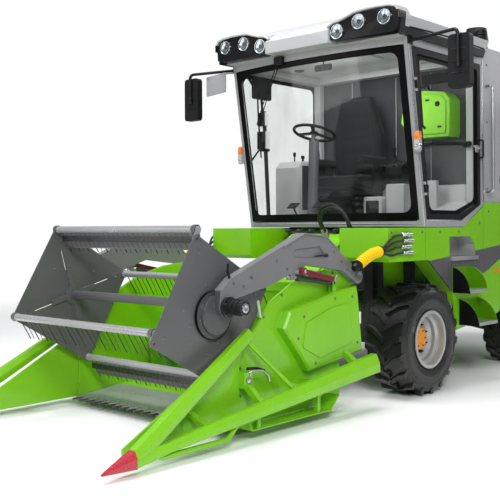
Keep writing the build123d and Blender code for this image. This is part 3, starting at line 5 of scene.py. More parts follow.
import bmesh
import bpy
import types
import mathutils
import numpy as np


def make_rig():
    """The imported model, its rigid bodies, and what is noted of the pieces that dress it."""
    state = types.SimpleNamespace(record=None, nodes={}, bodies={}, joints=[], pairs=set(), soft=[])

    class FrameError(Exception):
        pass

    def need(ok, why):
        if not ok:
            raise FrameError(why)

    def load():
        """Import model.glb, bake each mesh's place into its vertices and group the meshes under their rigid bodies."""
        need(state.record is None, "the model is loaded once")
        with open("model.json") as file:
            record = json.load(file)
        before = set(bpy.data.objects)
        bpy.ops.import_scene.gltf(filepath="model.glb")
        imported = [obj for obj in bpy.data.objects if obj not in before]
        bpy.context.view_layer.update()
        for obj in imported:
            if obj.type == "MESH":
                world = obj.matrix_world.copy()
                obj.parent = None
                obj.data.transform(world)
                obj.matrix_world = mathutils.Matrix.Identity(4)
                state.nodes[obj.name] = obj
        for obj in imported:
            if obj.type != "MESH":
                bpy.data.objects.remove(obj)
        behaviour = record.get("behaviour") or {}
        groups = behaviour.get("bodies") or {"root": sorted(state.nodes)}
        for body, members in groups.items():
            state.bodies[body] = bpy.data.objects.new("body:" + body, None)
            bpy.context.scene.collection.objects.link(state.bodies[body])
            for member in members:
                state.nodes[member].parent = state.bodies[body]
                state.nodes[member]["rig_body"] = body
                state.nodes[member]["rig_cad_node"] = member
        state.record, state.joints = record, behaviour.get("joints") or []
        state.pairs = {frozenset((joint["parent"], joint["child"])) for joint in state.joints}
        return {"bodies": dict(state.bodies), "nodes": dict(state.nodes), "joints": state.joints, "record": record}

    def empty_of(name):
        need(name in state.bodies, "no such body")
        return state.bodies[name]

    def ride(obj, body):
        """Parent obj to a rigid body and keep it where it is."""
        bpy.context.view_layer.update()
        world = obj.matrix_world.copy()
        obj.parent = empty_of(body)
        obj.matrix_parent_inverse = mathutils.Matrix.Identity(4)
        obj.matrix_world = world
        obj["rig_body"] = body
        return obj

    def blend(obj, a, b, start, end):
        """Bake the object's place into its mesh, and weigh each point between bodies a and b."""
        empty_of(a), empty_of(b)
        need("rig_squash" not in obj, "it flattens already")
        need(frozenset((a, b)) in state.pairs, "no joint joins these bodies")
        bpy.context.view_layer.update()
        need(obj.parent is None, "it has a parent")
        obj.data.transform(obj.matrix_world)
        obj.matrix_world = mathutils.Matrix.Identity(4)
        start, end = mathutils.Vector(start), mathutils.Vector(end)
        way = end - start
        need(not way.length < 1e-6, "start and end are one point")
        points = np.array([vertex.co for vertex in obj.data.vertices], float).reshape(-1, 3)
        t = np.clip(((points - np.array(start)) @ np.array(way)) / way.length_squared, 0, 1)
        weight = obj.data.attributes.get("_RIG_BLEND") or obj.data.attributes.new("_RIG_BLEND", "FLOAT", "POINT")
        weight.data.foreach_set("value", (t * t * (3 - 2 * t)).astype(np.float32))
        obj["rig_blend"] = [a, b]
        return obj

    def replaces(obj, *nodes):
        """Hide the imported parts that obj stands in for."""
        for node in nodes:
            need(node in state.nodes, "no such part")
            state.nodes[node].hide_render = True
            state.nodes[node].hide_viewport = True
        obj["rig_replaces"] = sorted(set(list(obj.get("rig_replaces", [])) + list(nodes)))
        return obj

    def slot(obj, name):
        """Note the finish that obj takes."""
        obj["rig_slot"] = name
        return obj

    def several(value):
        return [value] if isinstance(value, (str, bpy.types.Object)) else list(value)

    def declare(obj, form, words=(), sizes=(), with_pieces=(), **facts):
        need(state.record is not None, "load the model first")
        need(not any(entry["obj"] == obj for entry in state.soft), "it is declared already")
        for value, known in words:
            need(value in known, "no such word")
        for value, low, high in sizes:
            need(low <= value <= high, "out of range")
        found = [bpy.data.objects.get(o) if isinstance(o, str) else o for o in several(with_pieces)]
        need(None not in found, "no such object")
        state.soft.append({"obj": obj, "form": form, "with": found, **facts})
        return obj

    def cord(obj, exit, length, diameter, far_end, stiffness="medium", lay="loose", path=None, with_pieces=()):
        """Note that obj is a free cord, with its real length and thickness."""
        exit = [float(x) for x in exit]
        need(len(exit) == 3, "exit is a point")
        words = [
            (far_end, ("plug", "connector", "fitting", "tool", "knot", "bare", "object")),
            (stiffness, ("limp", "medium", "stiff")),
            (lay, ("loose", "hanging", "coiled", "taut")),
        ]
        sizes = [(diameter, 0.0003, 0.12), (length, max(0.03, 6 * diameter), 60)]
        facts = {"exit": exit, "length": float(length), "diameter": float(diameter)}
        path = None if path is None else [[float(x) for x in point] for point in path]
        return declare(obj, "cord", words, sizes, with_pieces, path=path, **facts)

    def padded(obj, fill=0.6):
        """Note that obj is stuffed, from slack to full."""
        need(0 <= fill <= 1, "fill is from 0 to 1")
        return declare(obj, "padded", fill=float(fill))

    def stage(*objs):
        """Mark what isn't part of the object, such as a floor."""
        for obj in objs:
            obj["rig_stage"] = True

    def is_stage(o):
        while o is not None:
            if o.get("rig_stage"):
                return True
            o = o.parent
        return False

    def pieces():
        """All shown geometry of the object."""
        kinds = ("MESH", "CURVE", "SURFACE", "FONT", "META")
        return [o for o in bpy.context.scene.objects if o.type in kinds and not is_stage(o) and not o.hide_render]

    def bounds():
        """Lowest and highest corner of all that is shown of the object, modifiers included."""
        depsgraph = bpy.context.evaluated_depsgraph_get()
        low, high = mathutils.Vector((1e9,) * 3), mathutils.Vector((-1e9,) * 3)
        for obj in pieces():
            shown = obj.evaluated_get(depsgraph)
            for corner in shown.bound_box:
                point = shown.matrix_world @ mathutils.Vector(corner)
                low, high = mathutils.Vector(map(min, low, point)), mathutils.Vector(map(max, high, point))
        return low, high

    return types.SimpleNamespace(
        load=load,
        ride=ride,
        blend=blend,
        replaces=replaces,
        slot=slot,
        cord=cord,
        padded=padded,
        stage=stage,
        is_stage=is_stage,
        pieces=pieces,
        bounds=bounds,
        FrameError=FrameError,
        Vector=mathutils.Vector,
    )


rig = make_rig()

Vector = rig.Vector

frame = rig.load()
CAD_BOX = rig.bounds()
SIDES = (1, -1)
HANDS = tuple(zip(SIDES, ("left", "right")))
LINK = bpy.context.scene.collection.objects.link

# Camera, from the photograph's vanishing lines
CAMERA_PLACE = (4.473, -5.781, 1.304)
CAMERA_TURN = (radians(90), radians(0.3), radians(41.874))
CAMERA_LENS = 61.96
CAMERA_SHIFT = (-0.0286, -0.048)


def make_camera():
    camera = bpy.data.objects.new("camera", bpy.data.cameras.new("camera"))
    LINK(camera)
    camera.location = CAMERA_PLACE
    camera.rotation_euler = CAMERA_TURN
    camera.data.lens = CAMERA_LENS
    camera.data.sensor_width = 36
    camera.data.shift_x, camera.data.shift_y = CAMERA_SHIFT
    camera.data.clip_end = 200
    bpy.context.scene.camera = camera


# Materials
class Look:
    """Node tree of one material, with short calls for the nodes that it uses."""

    def __init__(self, name):
        self.material = bpy.data.materials.new(name)
        self.material.use_nodes = True
        self.nodes = self.material.node_tree.nodes
        self.nodes.clear()
        self.links = self.material.node_tree.links
        self.output = self.add("OutputMaterial")
        self.place = None

    def add(self, kind, **values):
        node = self.nodes.new("ShaderNode" + kind)
        for name, value in values.items():
            setattr(node, name, value)
        return node

    def feed(self, socket, value):
        if isinstance(value, bpy.types.NodeSocket):
            self.links.new(value, socket)
        else:
            socket.default_value = value

    def here(self):
        return self.add("TexCoord").outputs["Object"]

    def math(self, operation, *values):
        node = self.add("Math", operation=operation)
        for socket, value in zip(node.inputs, values):
            self.feed(socket, value)
        return node.outputs[0]

    def where(self):
        """Place in the machine's frame, with x as the distance from its middle."""
        if self.place is None:
            split = self.add("SeparateXYZ")
            self.links.new(self.here(), split.inputs[0])
            self.place = (self.math("ABSOLUTE", split.outputs[0]), split.outputs[1], split.outputs[2])
        return self.place

    def beyond(self, planes):
        """1 where a|x| + by + cz > d for every plane (a, b, c, d)."""
        mask = None
        for factors in planes:
            total = None
            for factor, axis in zip(factors[:3], self.where()):
                if factor:
                    part = axis if factor == 1 else self.math("MULTIPLY", axis, factor)
                    total = part if total is None else self.math("ADD", total, part)
            one = self.math("GREATER_THAN", total, factors[3])
            mask = one if mask is None else self.math("MULTIPLY", mask, one)
        return mask

    def noise(self, scale, detail=4.0, stretch=(1, 1, 1), rough=0.5):
        spread = self.add("Mapping")
        spread.inputs["Scale"].default_value = stretch
        texture = self.add("TexNoise")
        for name, number in (("Scale", scale), ("Detail", detail), ("Roughness", rough)):
            texture.inputs[name].default_value = number
        self.links.new(self.here(), spread.inputs["Vector"])
        self.links.new(spread.outputs["Vector"], texture.inputs["Vector"])
        return texture.outputs["Fac"]

    def span(self, value, low, high, to_low=0.0, to_high=1.0):
        """Value between low and high, carried over to another range and kept inside it."""
        node = self.add("MapRange")
        for name, number in (("From Min", low), ("From Max", high), ("To Min", to_low), ("To Max", to_high)):
            node.inputs[name].default_value = number
        self.feed(node.inputs["Value"], value)
        return node.outputs[0]

    def mix(self, share, first, second):
        node = self.add("Mix", data_type="RGBA")
        self.feed(node.inputs[0], share)
        for socket, value in ((node.inputs[6], first), (node.inputs[7], second)):
            self.feed(socket, value if isinstance(value, bpy.types.NodeSocket) else (*value, 1))
        return node.outputs[2]

    def blend(self, share, first, second):
        """Surface that goes from one shader to another."""
        mix = self.add("MixShader")
        for socket, value in zip(mix.inputs, (share, first, second)):
            self.feed(socket, value)
        self.links.new(mix.outputs["Shader"], self.output.inputs["Surface"])


def within(x=None, y=None, z=None):
    """Planes of a box; a side may be None, and so may a limit."""
    planes = []
    for number, limits in enumerate((x, y, z)):
        for sign, limit in zip((1, -1), limits or ()):
            if limit is not None:
                planes.append(tuple(sign if axis == number else 0 for axis in range(3)) + (sign * limit,))
    return planes


DIRT = (0.20, 0.17, 0.13)


def finish(name, colour, rough=0.4, metal=0.0, coat=0.0, vary=0.06, grain=60.0, bump=0.02, stretch=(1, 1, 1),
           zones=(), edge=0.0, worn=(0.5, 0.5, 0.5), wear=0.25, dust=0.1, weave=0.0, sheen=0.0, shine=0.5):
    """Painted, moulded, cast or woven surface: tone, grain, gloss, worn edges, dust low down, and zones."""
    look = Look(name)
    shader = look.add("BsdfPrincipled")
    look.links.new(shader.outputs["BSDF"], look.output.inputs["Surface"])
    for socket, number in (("Metallic", metal), ("Coat Weight", coat), ("Coat Roughness", 0.06),
                           ("Sheen Weight", sheen), ("Specular IOR Level", shine)):
        shader.inputs[socket].default_value = number
    slow = look.span(look.noise(1.7, 3), 0.35, 0.65)
    dark, bright = (tuple(min(1, c * (1 + way * vary)) for c in colour) for way in (-1, 1))
    shade = look.mix(slow, dark, bright)
    for zone_colour, planes in zones:
        zone_shade = look.mix(slow, tuple(c * (1 - vary) for c in zone_colour), zone_colour)
        shade = look.mix(look.beyond(planes), shade, zone_shade)
    fine = look.noise(grain, 6, stretch)
    relief = look.add("Bump")
    if edge:
        round_off = look.add("Bevel", samples=4)
        round_off.inputs["Radius"].default_value = edge
        turn = look.add("VectorMath", operation="DOT_PRODUCT")
        look.links.new(round_off.outputs[0], turn.inputs[0])
        look.links.new(look.add("NewGeometry").outputs["Normal"], turn.inputs[1])
        look.links.new(round_off.outputs[0], relief.inputs["Normal"])
        rim = look.span(turn.outputs["Value"], 0.985, 0.90)
        rub = look.math("MULTIPLY", rim, look.span(look.noise(24, 6, rough=0.7), 0.50, 0.62, 0.0, wear))
        shade = look.mix(rub, shade, worn)
    if dust:
        low = look.span(look.where()[2], 0.75, 0.02, 0.0, dust)
        settle = look.math("MULTIPLY", low, look.span(look.noise(5, 5), 0.3, 0.7, 0.3, 1.0))
        shade = look.mix(settle, shade, DIRT)
    look.links.new(shade, shader.inputs["Base Color"])
    gloss = look.span(fine, 0.3, 0.7, max(0.03, rough - 0.06), rough + 0.06)
    smear = look.span(look.noise(3.1, 5, (1, 1, 0.35)), 0.35, 0.75, -0.03, 0.07)
    look.links.new(look.math("ADD", gloss, smear), shader.inputs["Roughness"])
    relief.inputs["Strength"].default_value = 0.6
    relief.inputs["Distance"].default_value = bump * 0.05
    height = fine
    if weave:
        waves = []
        for direction in ("X", "Z"):
            wave = look.add("TexWave", bands_direction=direction)
            wave.inputs["Scale"].default_value = weave
            wave.inputs["Distortion"].default_value = 0.6
            look.links.new(look.here(), wave.inputs["Vector"])
            waves.append(wave.outputs["Fac"])
        height = look.math("ADD", look.math("MULTIPLY", *waves), look.math("MULTIPLY", fine, 0.5))
    look.links.new(height, relief.inputs["Height"])
    look.links.new(relief.outputs["Normal"], shader.inputs["Normal"])
    return look.material


def pane(name, tint, gloss=0.02, sheen=0.03, smear=0.05):
    """Thin, slightly smeared pane: what lies behind it shows, and the sheen grows at a flat angle."""
    look = Look(name)
    through = look.add("BsdfTransparent")
    stain = look.span(look.noise(6, 5, (1, 1, 0.4)), 0.4, 0.8)
    look.links.new(look.mix(stain, tint, tuple(c * (1 - smear) for c in tint)), through.inputs["Color"])
    mirror = look.add("BsdfGlossy")
    look.links.new(look.span(look.noise(9, 4), 0.4, 0.8, gloss, gloss + 0.05), mirror.inputs["Roughness"])
    facing = look.math("POWER", look.add("LayerWeight").outputs["Facing"], 5.0)
    share = look.math("ADD", look.math("MULTIPLY", facing, 0.6), sheen)
    look.blend(share, through.outputs[0], mirror.outputs[0])
    return look.material


LIME = (0.200, 0.545, 0.006)
DEEP_LIME = (0.035, 0.20, 0.006)
BAND = (0.105, 0.102, 0.108)
CHARCOAL = (0.045, 0.045, 0.048)
LIGHT = (0.50, 0.50, 0.505)
JET = (0.010, 0.010, 0.011)
ZINC = (0.46, 0.47, 0.48)
FLAME = (0.85, 0.21, 0.003)

PANEL_BAND = (
    # under the upper line, over both lower lines, on the panel's outside
    (0, 0.0855, -1, -1.023 + 0.0855 * 0.149),
    (0, -0.238, 1, 0.759 - 0.238 * 0.478),
    (0, -0.41, 1, 0.907 - 0.41 * 1.1),
    (1, 0, 0, 0.9),
)
PANEL_ZONES = (
    (BAND, PANEL_BAND),
    (DEEP_LIME, within(y=(1.0205, 1.0245), z=(1.105, 1.46))),
    (DEEP_LIME, within(y=(0.072, 0.077), z=(1.035, 1.29))),
    (DEEP_LIME, within(y=(1.70, 1.703), z=(0.7, 1.50))),
    ((0.40, 0.41, 0.40), within(x=(0.72, 0.908), y=(0.62, 0.912), z=(1.036, 1.216))),
)
HOOD_ZONES = (
    (DEEP_LIME, within(x=(None, 0.002), z=(0.9, 2.2))),
    (DEEP_LIME, within(z=(1.600, 1.6035))),
    (DEEP_LIME, within(x=(0.700, 0.7035), y=(2.40, None))),
    (DEEP_LIME, within(y=(2.60, 2.603))),
)
STEP_ZONES = (
    (LIME, within(x=(0.9, 0.922), z=(0.0, 0.98))),
    (LIME, within(y=(0.789, 0.800), z=(0.751, 0.98))),
    (LIME, within(y=(0.907, 0.918), z=(0.481, 0.70))),
    (JET, within(x=(0.921, None), y=(0.488, 0.4975), z=(0.745, 0.98))),
    (JET, within(x=(0.921, None), y=(0.588, 0.5975), z=(0.475, 0.70))),
)
CAB_ZONES = (
    (LIGHT, within(x=(None, 0.876), y=(None, 1.0395), z=(1.338, None))),
    (CHARCOAL, within(x=(None, 0.80), y=(0.99, 1.0395), z=(1.66, None))),
    (JET, within(x=(None, 0.87), y=(None, 0.99), z=(1.336, 1.3425))),
)
ROOF_ZONES = (
    # painted shade: black on the roof's sides under the white rim, standing for the shadow gap under the rim together
    # with the black trim there
    (JET, within(x=(0.905, None), z=(None, 2.803))),
    (JET, within(x=(0.93, None), y=(None, -0.262), z=(None, 2.91))),
    (LIGHT, within(x=(None, 0.87), y=(-0.2, 1.0), z=(None, 2.7465))),
)
ARM_ZONES = (
    (JET, within(x=(0.852, None), y=(-2.2, -2.0), z=(0.7, 0.88))),
    ((0.075, 0.075, 0.078), within(x=(0.70, 0.84), y=(-2.27, -1.94), z=(0.58, 0.914))),
)
CONTROL_ZONES = (
    ((0.10, 0.105, 0.11), within(x=(0.13, 0.37), y=(None, 0.26))),
    (JET, within(x=(0.7, 0.95), y=(None, 0.2))),
    (LIME, within(x=(0.38, 0.72), y=(0.8, None), z=(2.0, None))),
    (CHARCOAL, within(x=(None, 0.829), y=(0.36, 0.84), z=(1.45, 1.86))),
)


def green(name, zones=()):
    return finish(name, LIME, rough=0.27, coat=0.2, shine=0.35, vary=0.05, grain=220, bump=0.006, edge=0.004,
                  worn=(0.42, 0.75, 0.14), wear=0.5, zones=zones)


GREEN = green("green_paint")
PANEL = green("panel_paint", PANEL_ZONES)
HOOD = green("hood_paint", HOOD_ZONES)
GREY = finish("dark_grey_paint", (0.102, 0.102, 0.106), rough=0.36, coat=0.12, vary=0.08, grain=160,
              bump=0.012, edge=0.003, worn=(0.42, 0.42, 0.43), wear=0.8)
FRAME = finish("chassis_paint", (0.035, 0.035, 0.038), vary=0.15, grain=110, bump=0.03, edge=0.003,
               rough=0.5, worn=(0.2, 0.2, 0.2), wear=0.6, dust=0.2)
PALE = finish("pale_grey_paint", (0.36, 0.365, 0.375), rough=0.33, coat=0.2, grain=180, bump=0.008,
              edge=0.006, worn=(0.6, 0.6, 0.6), wear=0.4,
              zones=((JET, within(x=(0.5, 0.895), y=(1.42, 1.98), z=(1.9, 2.34))),))
CABIN = finish("cab_grey_paint", (0.34, 0.34, 0.35), rough=0.30, coat=0.2, grain=160, bump=0.01, edge=0.005,
               worn=(0.6, 0.6, 0.6), wear=0.3, zones=CAB_ZONES)
ARM_GREY = finish("arm_grey_paint", (0.185, 0.185, 0.19), rough=0.34, coat=0.15, vary=0.08, grain=150,
                  bump=0.01, edge=0.004, wear=0.8, zones=ARM_ZONES)
WHITE = finish("roof_white", (0.50, 0.505, 0.515), rough=0.30, coat=0.15, shine=0.3, vary=0.03, grain=200,
               bump=0.006, edge=0.008, worn=(0.8, 0.8, 0.8), wear=0.2, dust=0.0, zones=ROOF_ZONES)
BLACK = finish("black_plastic", (0.009, 0.009, 0.010), rough=0.42, shine=0.25, vary=0.2, grain=420,
               edge=0.002, worn=(0.10, 0.10, 0.10), wear=0.5)
POD = finish("pod_black", (0.006, 0.006, 0.007), rough=0.2, coat=0.15, shine=0.2, vary=0.2, grain=300,
             bump=0.01, edge=0.004, worn=(0.1, 0.1, 0.1))
RUBBER = finish("tyre_rubber", (0.007, 0.007, 0.008), rough=0.34, coat=0.22, shine=0.4, vary=0.3, grain=130,
                bump=0.07, edge=0.005, worn=(0.12, 0.12, 0.12), wear=0.8, dust=0.07)
SEAL = finish("seal_rubber", (0.004, 0.004, 0.004), rough=0.30, shine=0.12, grain=200, bump=0.01, dust=0.0)
SILVER = finish("rim_silver", (0.43, 0.43, 0.425), rough=0.30, metal=0.45, coat=0.1, vary=0.1, grain=120,
                edge=0.003, worn=(0.25, 0.24, 0.23), wear=0.6, dust=0.12)
STEEL = finish("bright_steel", (0.56, 0.56, 0.57), rough=0.27, metal=1.0, grain=35, bump=0.01,
               stretch=(1, 14, 14), edge=0.002, worn=(0.8, 0.8, 0.8))
BAT = finish("bat_sleeve", (0.42, 0.42, 0.43), rough=0.22, metal=0.3, coat=0.2, grain=90, bump=0.001,
             dust=0.0)
BOARD = finish("bat_board", (0.16, 0.16, 0.163), rough=0.36, vary=0.08, grain=80, bump=0.008, dust=0.0,
               edge=0.001)
TREAD = finish("zinc_tread", ZINC, rough=0.38, metal=0.6, vary=0.25, grain=28, edge=0.002,
               worn=(0.7, 0.7, 0.7), zones=STEP_ZONES)
KNIFE = finish("knife_steel", (0.33, 0.33, 0.335), rough=0.33, metal=0.5, vary=0.3, grain=40,
               stretch=(1, 9, 9), edge=0.001, worn=(0.8, 0.8, 0.8), dust=0.0,
               zones=(((0.12, 0.12, 0.123), within(y=(None, -2.0), z=(None, 0.0672))),))
BOLT = finish("bolt_zinc", (0.20, 0.20, 0.205), rough=0.35, metal=0.7, vary=0.2, grain=40, bump=0.01,
              edge=0.001)
SHEET = finish("bright_sheet", (0.36, 0.36, 0.37), rough=0.33, metal=0.35, vary=0.15, grain=26, bump=0.006,
               stretch=(1, 6, 6), dust=0.0)
CAST = finish("cast_grey", (0.055, 0.055, 0.06), rough=0.5, vary=0.2, grain=120, bump=0.08, edge=0.004,
              worn=(0.25, 0.24, 0.23), wear=0.7, dust=0.25)
RED = finish("red_paint", (0.46, 0.010, 0.028), rough=0.28, coat=0.35, vary=0.1, grain=120, bump=0.015,
             edge=0.003, worn=(0.8, 0.35, 0.35), wear=0.9)
WINE = finish("dark_red_paint", (0.17, 0.006, 0.018), rough=0.35, coat=0.2, grain=120, bump=0.01,
              edge=0.002)
ORANGE = finish("orange_paint", (0.80, 0.285, 0.003), rough=0.3, coat=0.1, shine=0.3, grain=120, bump=0.01,
                edge=0.003, worn=(0.9, 0.6, 0.3))
AMBER = finish("amber_lens", (0.85, 0.245, 0.003), rough=0.12, coat=0.3, shine=0.3, vary=0.15, grain=70,
               bump=0.06, dust=0.0)
PILLAR_LAMP = finish("pillar_lamp", (0.46, 0.46, 0.47), rough=0.12, coat=0.5, grain=70, bump=0.05, dust=0.0,
                     zones=((FLAME, within(z=(1.958, None))),))
BELLOWS = finish("bellows_rubber", (0.016, 0.016, 0.017), rough=0.28, coat=0.2, grain=120, bump=0.01,
                 dust=0.0)
RED_LENS = finish("red_lens", (0.50, 0.006, 0.008), rough=0.12, coat=0.8, vary=0.15, grain=70, bump=0.06,
                  dust=0.0)
YELLOW = finish("yellow_guard", (0.84, 0.56, 0.003), rough=0.34, shine=0.3, grain=160, bump=0.01, dust=0.0)
CLOTH = finish("seat_cloth", (0.013, 0.013, 0.014), rough=0.8, vary=0.15, grain=200, bump=0.012, weave=60,
               sheen=0.06, shine=0.25, dust=0.0)
HOSE = finish("hose_rubber", (0.012, 0.012, 0.013), rough=0.38, grain=260, bump=0.03, weave=160, dust=0.0)
MIRROR = finish("mirror_glass", (0.75, 0.77, 0.78), rough=0.05, metal=1.0, grain=12, bump=0.001, dust=0.0)
CHROME = finish("lamp_chrome", (0.78, 0.79, 0.80), rough=0.12, metal=1.0, grain=50, bump=0.03, dust=0.0)
SCREEN = finish("dark_screen", (0.012, 0.016, 0.022), rough=0.10, coat=0.6, grain=20, bump=0.001, dust=0.0)
SHELF = finish("light_plastic", LIGHT, grain=300, edge=0.003, worn=(0.7, 0.7, 0.7), dust=0.0)
MAT = finish("rubber_mat", (0.02, 0.02, 0.021), rough=0.7, grain=120, bump=0.05, weave=40, dust=0.0)
CONTROLS = finish("controls", LIGHT, vary=0.08, grain=300, edge=0.004, worn=(0.7, 0.7, 0.7), dust=0.0,
                  zones=CONTROL_ZONES)
GLASS = pane("clear_glass", (0.965, 0.975, 0.97))
LAMP_GLASS = pane("lamp_glass", (0.90, 0.92, 0.93), 0.05)

SURFACES = {name: material for material, names in (
    (CAST, "axles engine_block knuckle_left knuckle_right tie_rod"),
    (FRAME, "chassis lift_barrels reel_barrels"),
    (GREEN, "threshing_housing feeder_house header_table header_sides dividers header_auger"),
    (PANEL, "side_panels"), (HOOD, "straw_hood"), (PALE, "upper_housing engine_hood"), (CABIN, "cab_frame"),
    (GLASS, "cab_glass door_glass"), (WHITE, "cab_roof"), (POD, "lamp_pods"), (CHROME, "work_lamps"),
    (PILLAR_LAMP, "indicator_lamps"), (BLACK, "seat_base mirrors engine_pipes steering_wheel cab_door"),
    (CONTROLS, "cab_controls"), (TREAD, "steps"), (STEEL, "grab_rail lift_rods reel_rods"),
    (RED, "divider_tips"),
    (KNIFE, "cutter_bar"), (ARM_GREY, "reel_arms"), (GREY, "reel_frame control_plate"), (CLOTH, "seat_pads"),
    (RUBBER, "tyre_front_left tyre_front_right tyre_rear_left tyre_rear_right"),
    (SILVER, "rim_front_left rim_front_right rim_rear_left rim_rear_right"),
) for name in names.split()}

# Reel: axis, circle of the bats, and the way in which the tines point
REEL_Y, REEL_Z, BAT_CIRCLE, BAT_LEAD = -2.077, 0.819, 0.483, radians(-15.1)
FALL = Vector((0, sin(radians(31)), -cos(radians(31))))
SLEEVE_R = 0.0235


def spoke(index, reach, across=0.0, turn=0.0, middle=(REEL_Y, REEL_Z)):
    """Y and Z at a distance from the reel's axis towards a bat, with a shift across the spoke or a turn."""
    angle = BAT_LEAD + index * pi / 2 + turn
    return (middle[0] - reach * cos(angle) - across * sin(angle),
            middle[1] + reach * sin(angle) - across * cos(angle))


def dress_nodes():
    """Gives each node that stays its material; a bat's tines are darker than its tube."""
    for index in range(4):
        y, z = spoke(index, BAT_CIRCLE)
        under = (0, FALL.y, FALL.z, y * FALL.y + z * FALL.z + SLEEVE_R)
        SURFACES[f"reel_bat_{index + 1}"] = finish(
            f"bat_paint_{index + 1}", (0.40, 0.40, 0.41), rough=0.26, metal=0.3, coat=0.2, vary=0.1,
            bump=0.01, dust=0.0, zones=(((0.035, 0.035, 0.037), (under,)),))
    for name, node in frame["nodes"].items():
        node.data.materials.clear()
        node.data.materials.append(SURFACES[name])


# Solids: each is its rings of points, and True where its last ring joins the first
def turned(centre, direction, profile, sides=40, ring=False):
    """Turned solid on a line through centre, or a ring: profile holds (distance along, radius)."""
    along = Vector(direction).normalized()
    side = along.orthogonal().normalized()
    up = along.cross(side)
    rings = []
    for distance, radius in profile:
        turns = [2 * pi * k / sides for k in range(sides if radius > 0 else 1)]
        foot = Vector(centre) + along * distance
        rings.append([foot + (side * cos(t) + up * sin(t)) * radius for t in turns])
    return rings, ring


def stud(centre, direction, low, high, radius, tip_radius, chamfer, sides):
    """Round or hexagonal stud with a chamfered end."""
    return turned(centre, direction, ((low, radius), (high, radius), (high + chamfer, tip_radius)), sides)


def bolt(place, direction, radius, height):
    """Washer, hexagonal head and the stud's end."""
    return [stud(place, direction, -0.002, 0.0015, radius * 1.5, radius * 1.4, 0.0005, 16),
            stud(place, direction, 0.0, height * 0.85, radius, radius * 0.86, height * 0.15, 6),
            stud(place, direction, 0.0, height * 1.4, radius * 0.5, radius * 0.35, height * 0.15, 10)]


def prism(outline, axis, low, high):
    """Solid of an outline in the other two axes, between two places on one axis."""
    number = "xyz".index(axis)
    rings = [[Vector((*point[:number], place, *point[number:])) for point in outline]
             for place in (low, high)]
    return rings, False


def rectangle(first, second):
    return (first[0], second[0]), (first[1], second[0]), (first[1], second[1]), (first[0], second[1])


def block(x, y, z):
    return prism(rectangle(y, z), "x", *x)


def rounded(corners, radius, steps=6):
    """Outline with its corners rounded, as points round each corner."""
    points = []
    for k, place in enumerate(corners):
        corner = Vector((*place, 0))
        back = (Vector((*corners[k - 1], 0)) - corner).normalized()
        ahead = (Vector((*corners[(k + 1) % len(corners)], 0)) - corner).normalized()
        half = back.angle(ahead) / 2
        middle = corner + (back + ahead).normalized() * radius / sin(half)
        first, last = (corner + way * (radius * cos(half) / sin(half)) - middle for way in (back, ahead))
        sweep = first.angle(last)
        for share in [step / steps for step in range(steps + 1)]:
            arm = (first * sin((1 - share) * sweep) + last * sin(share * sweep)) / sin(sweep)
            points.append(tuple((middle + arm)[:2]))
    return points


def plate(first, second, corner, axis, low, high, steps=6):
    """Plate with rounded corners: two spans across the axis, and its place along it."""
    return prism(rounded(rectangle(first, second), corner, steps), axis, low, high)


def swept(points, radius, sides=10, flat=1.0):
    """Round or flattened bar along a line of points."""
    points = [Vector(p) for p in points]
    rings = []
    side = None
    for k, point in enumerate(points):
        along = (points[min(k + 1, len(points) - 1)] - points[max(k - 1, 0)]).normalized()
        side = (along.orthogonal() if side is None else side - along * side.dot(along)).normalized()
        up = along.cross(side) * flat
        width = radius(k / (len(points) - 1)) if callable(radius) else radius
        rings.append([point + (side * cos(2 * pi * s / sides) + up * sin(2 * pi * s / sides)) * width
                      for s in range(sides)])
    return rings, False


def corrugated(points, radius, rings):
    """Round hose with grooves at even distances."""
    line = [Vector(p) for p in points]
    lengths = [0.0]
    for a, b in zip(line, line[1:]):
        lengths.append(lengths[-1] + (b - a).length)
    dense = []
    for k in range(rings * 8 + 1):
        want = lengths[-1] * k / (rings * 8)
        i = max(j for j in range(len(line) - 1) if lengths[j] <= want + 1e-9)
        share = (want - lengths[i]) / (lengths[i + 1] - lengths[i])
        dense.append(line[i].lerp(line[i + 1], min(1, share)))
    return swept(dense, lambda t: radius * (1.12 - 0.34 * (0.5 + 0.5 * cos(2 * pi * rings * t)) ** 3), 24)


def each(solids):
    """The solids in lists within lists, one by one."""
    for item in solids:
        if isinstance(item, list):
            yield from each(item)
        else:
            yield item


def both(*solids):
    """The solids on the left and their mirror images on the right."""
    images = [([[Vector((-p[0], p[1], p[2])) for p in ring] for ring in rings], closed)
              for rings, closed in each(solids)]
    return [*solids, *images]


def skin(bm, rings, closed):
    """Faces between rings of points; a ring of one point is a tip."""
    rings = [[bm.verts.new(point) for point in ring] for ring in rings]
    for near, far in list(zip(rings, rings[1:])) + ([(rings[-1], rings[0])] if closed else []):
        count = max(len(near), len(far))
        for k in range(count):
            after = (k + 1) % count
            corners = (near[k % len(near)], near[after % len(near)], far[after % len(far)], far[k % len(far)])
            unique = list(dict.fromkeys(corners))
            if len(unique) > 2:
                bm.faces.new(unique)
    for ring in () if closed else (rings[0], rings[-1]):
        if len(ring) > 2:
            bm.faces.new(ring)


def settle(name, material, bm, body, bevel=0.0, levels=0):
    """Makes a finished mesh a piece that rides on a body."""
    bmesh.ops.recalc_face_normals(bm, faces=bm.faces)
    mesh = bpy.data.meshes.new(name)
    bm.to_mesh(mesh)
    bm.free()
    mesh.shade_smooth()
    if not levels:
        mesh.set_sharp_from_angle(angle=radians(35))
    mesh.materials.append(material)
    obj = bpy.data.objects.new(name, mesh)
    LINK(obj)
    if bevel:
        soften = obj.modifiers.new("soften", "BEVEL")
        soften.width = bevel
        soften.segments = 2
        soften.limit_method = "ANGLE"
        soften.angle_limit = radians(40)
    if levels:
        soften = obj.modifiers.new("subdivide", "SUBSURF")
        soften.levels = soften.render_levels = levels
    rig.ride(obj, body)
    return obj


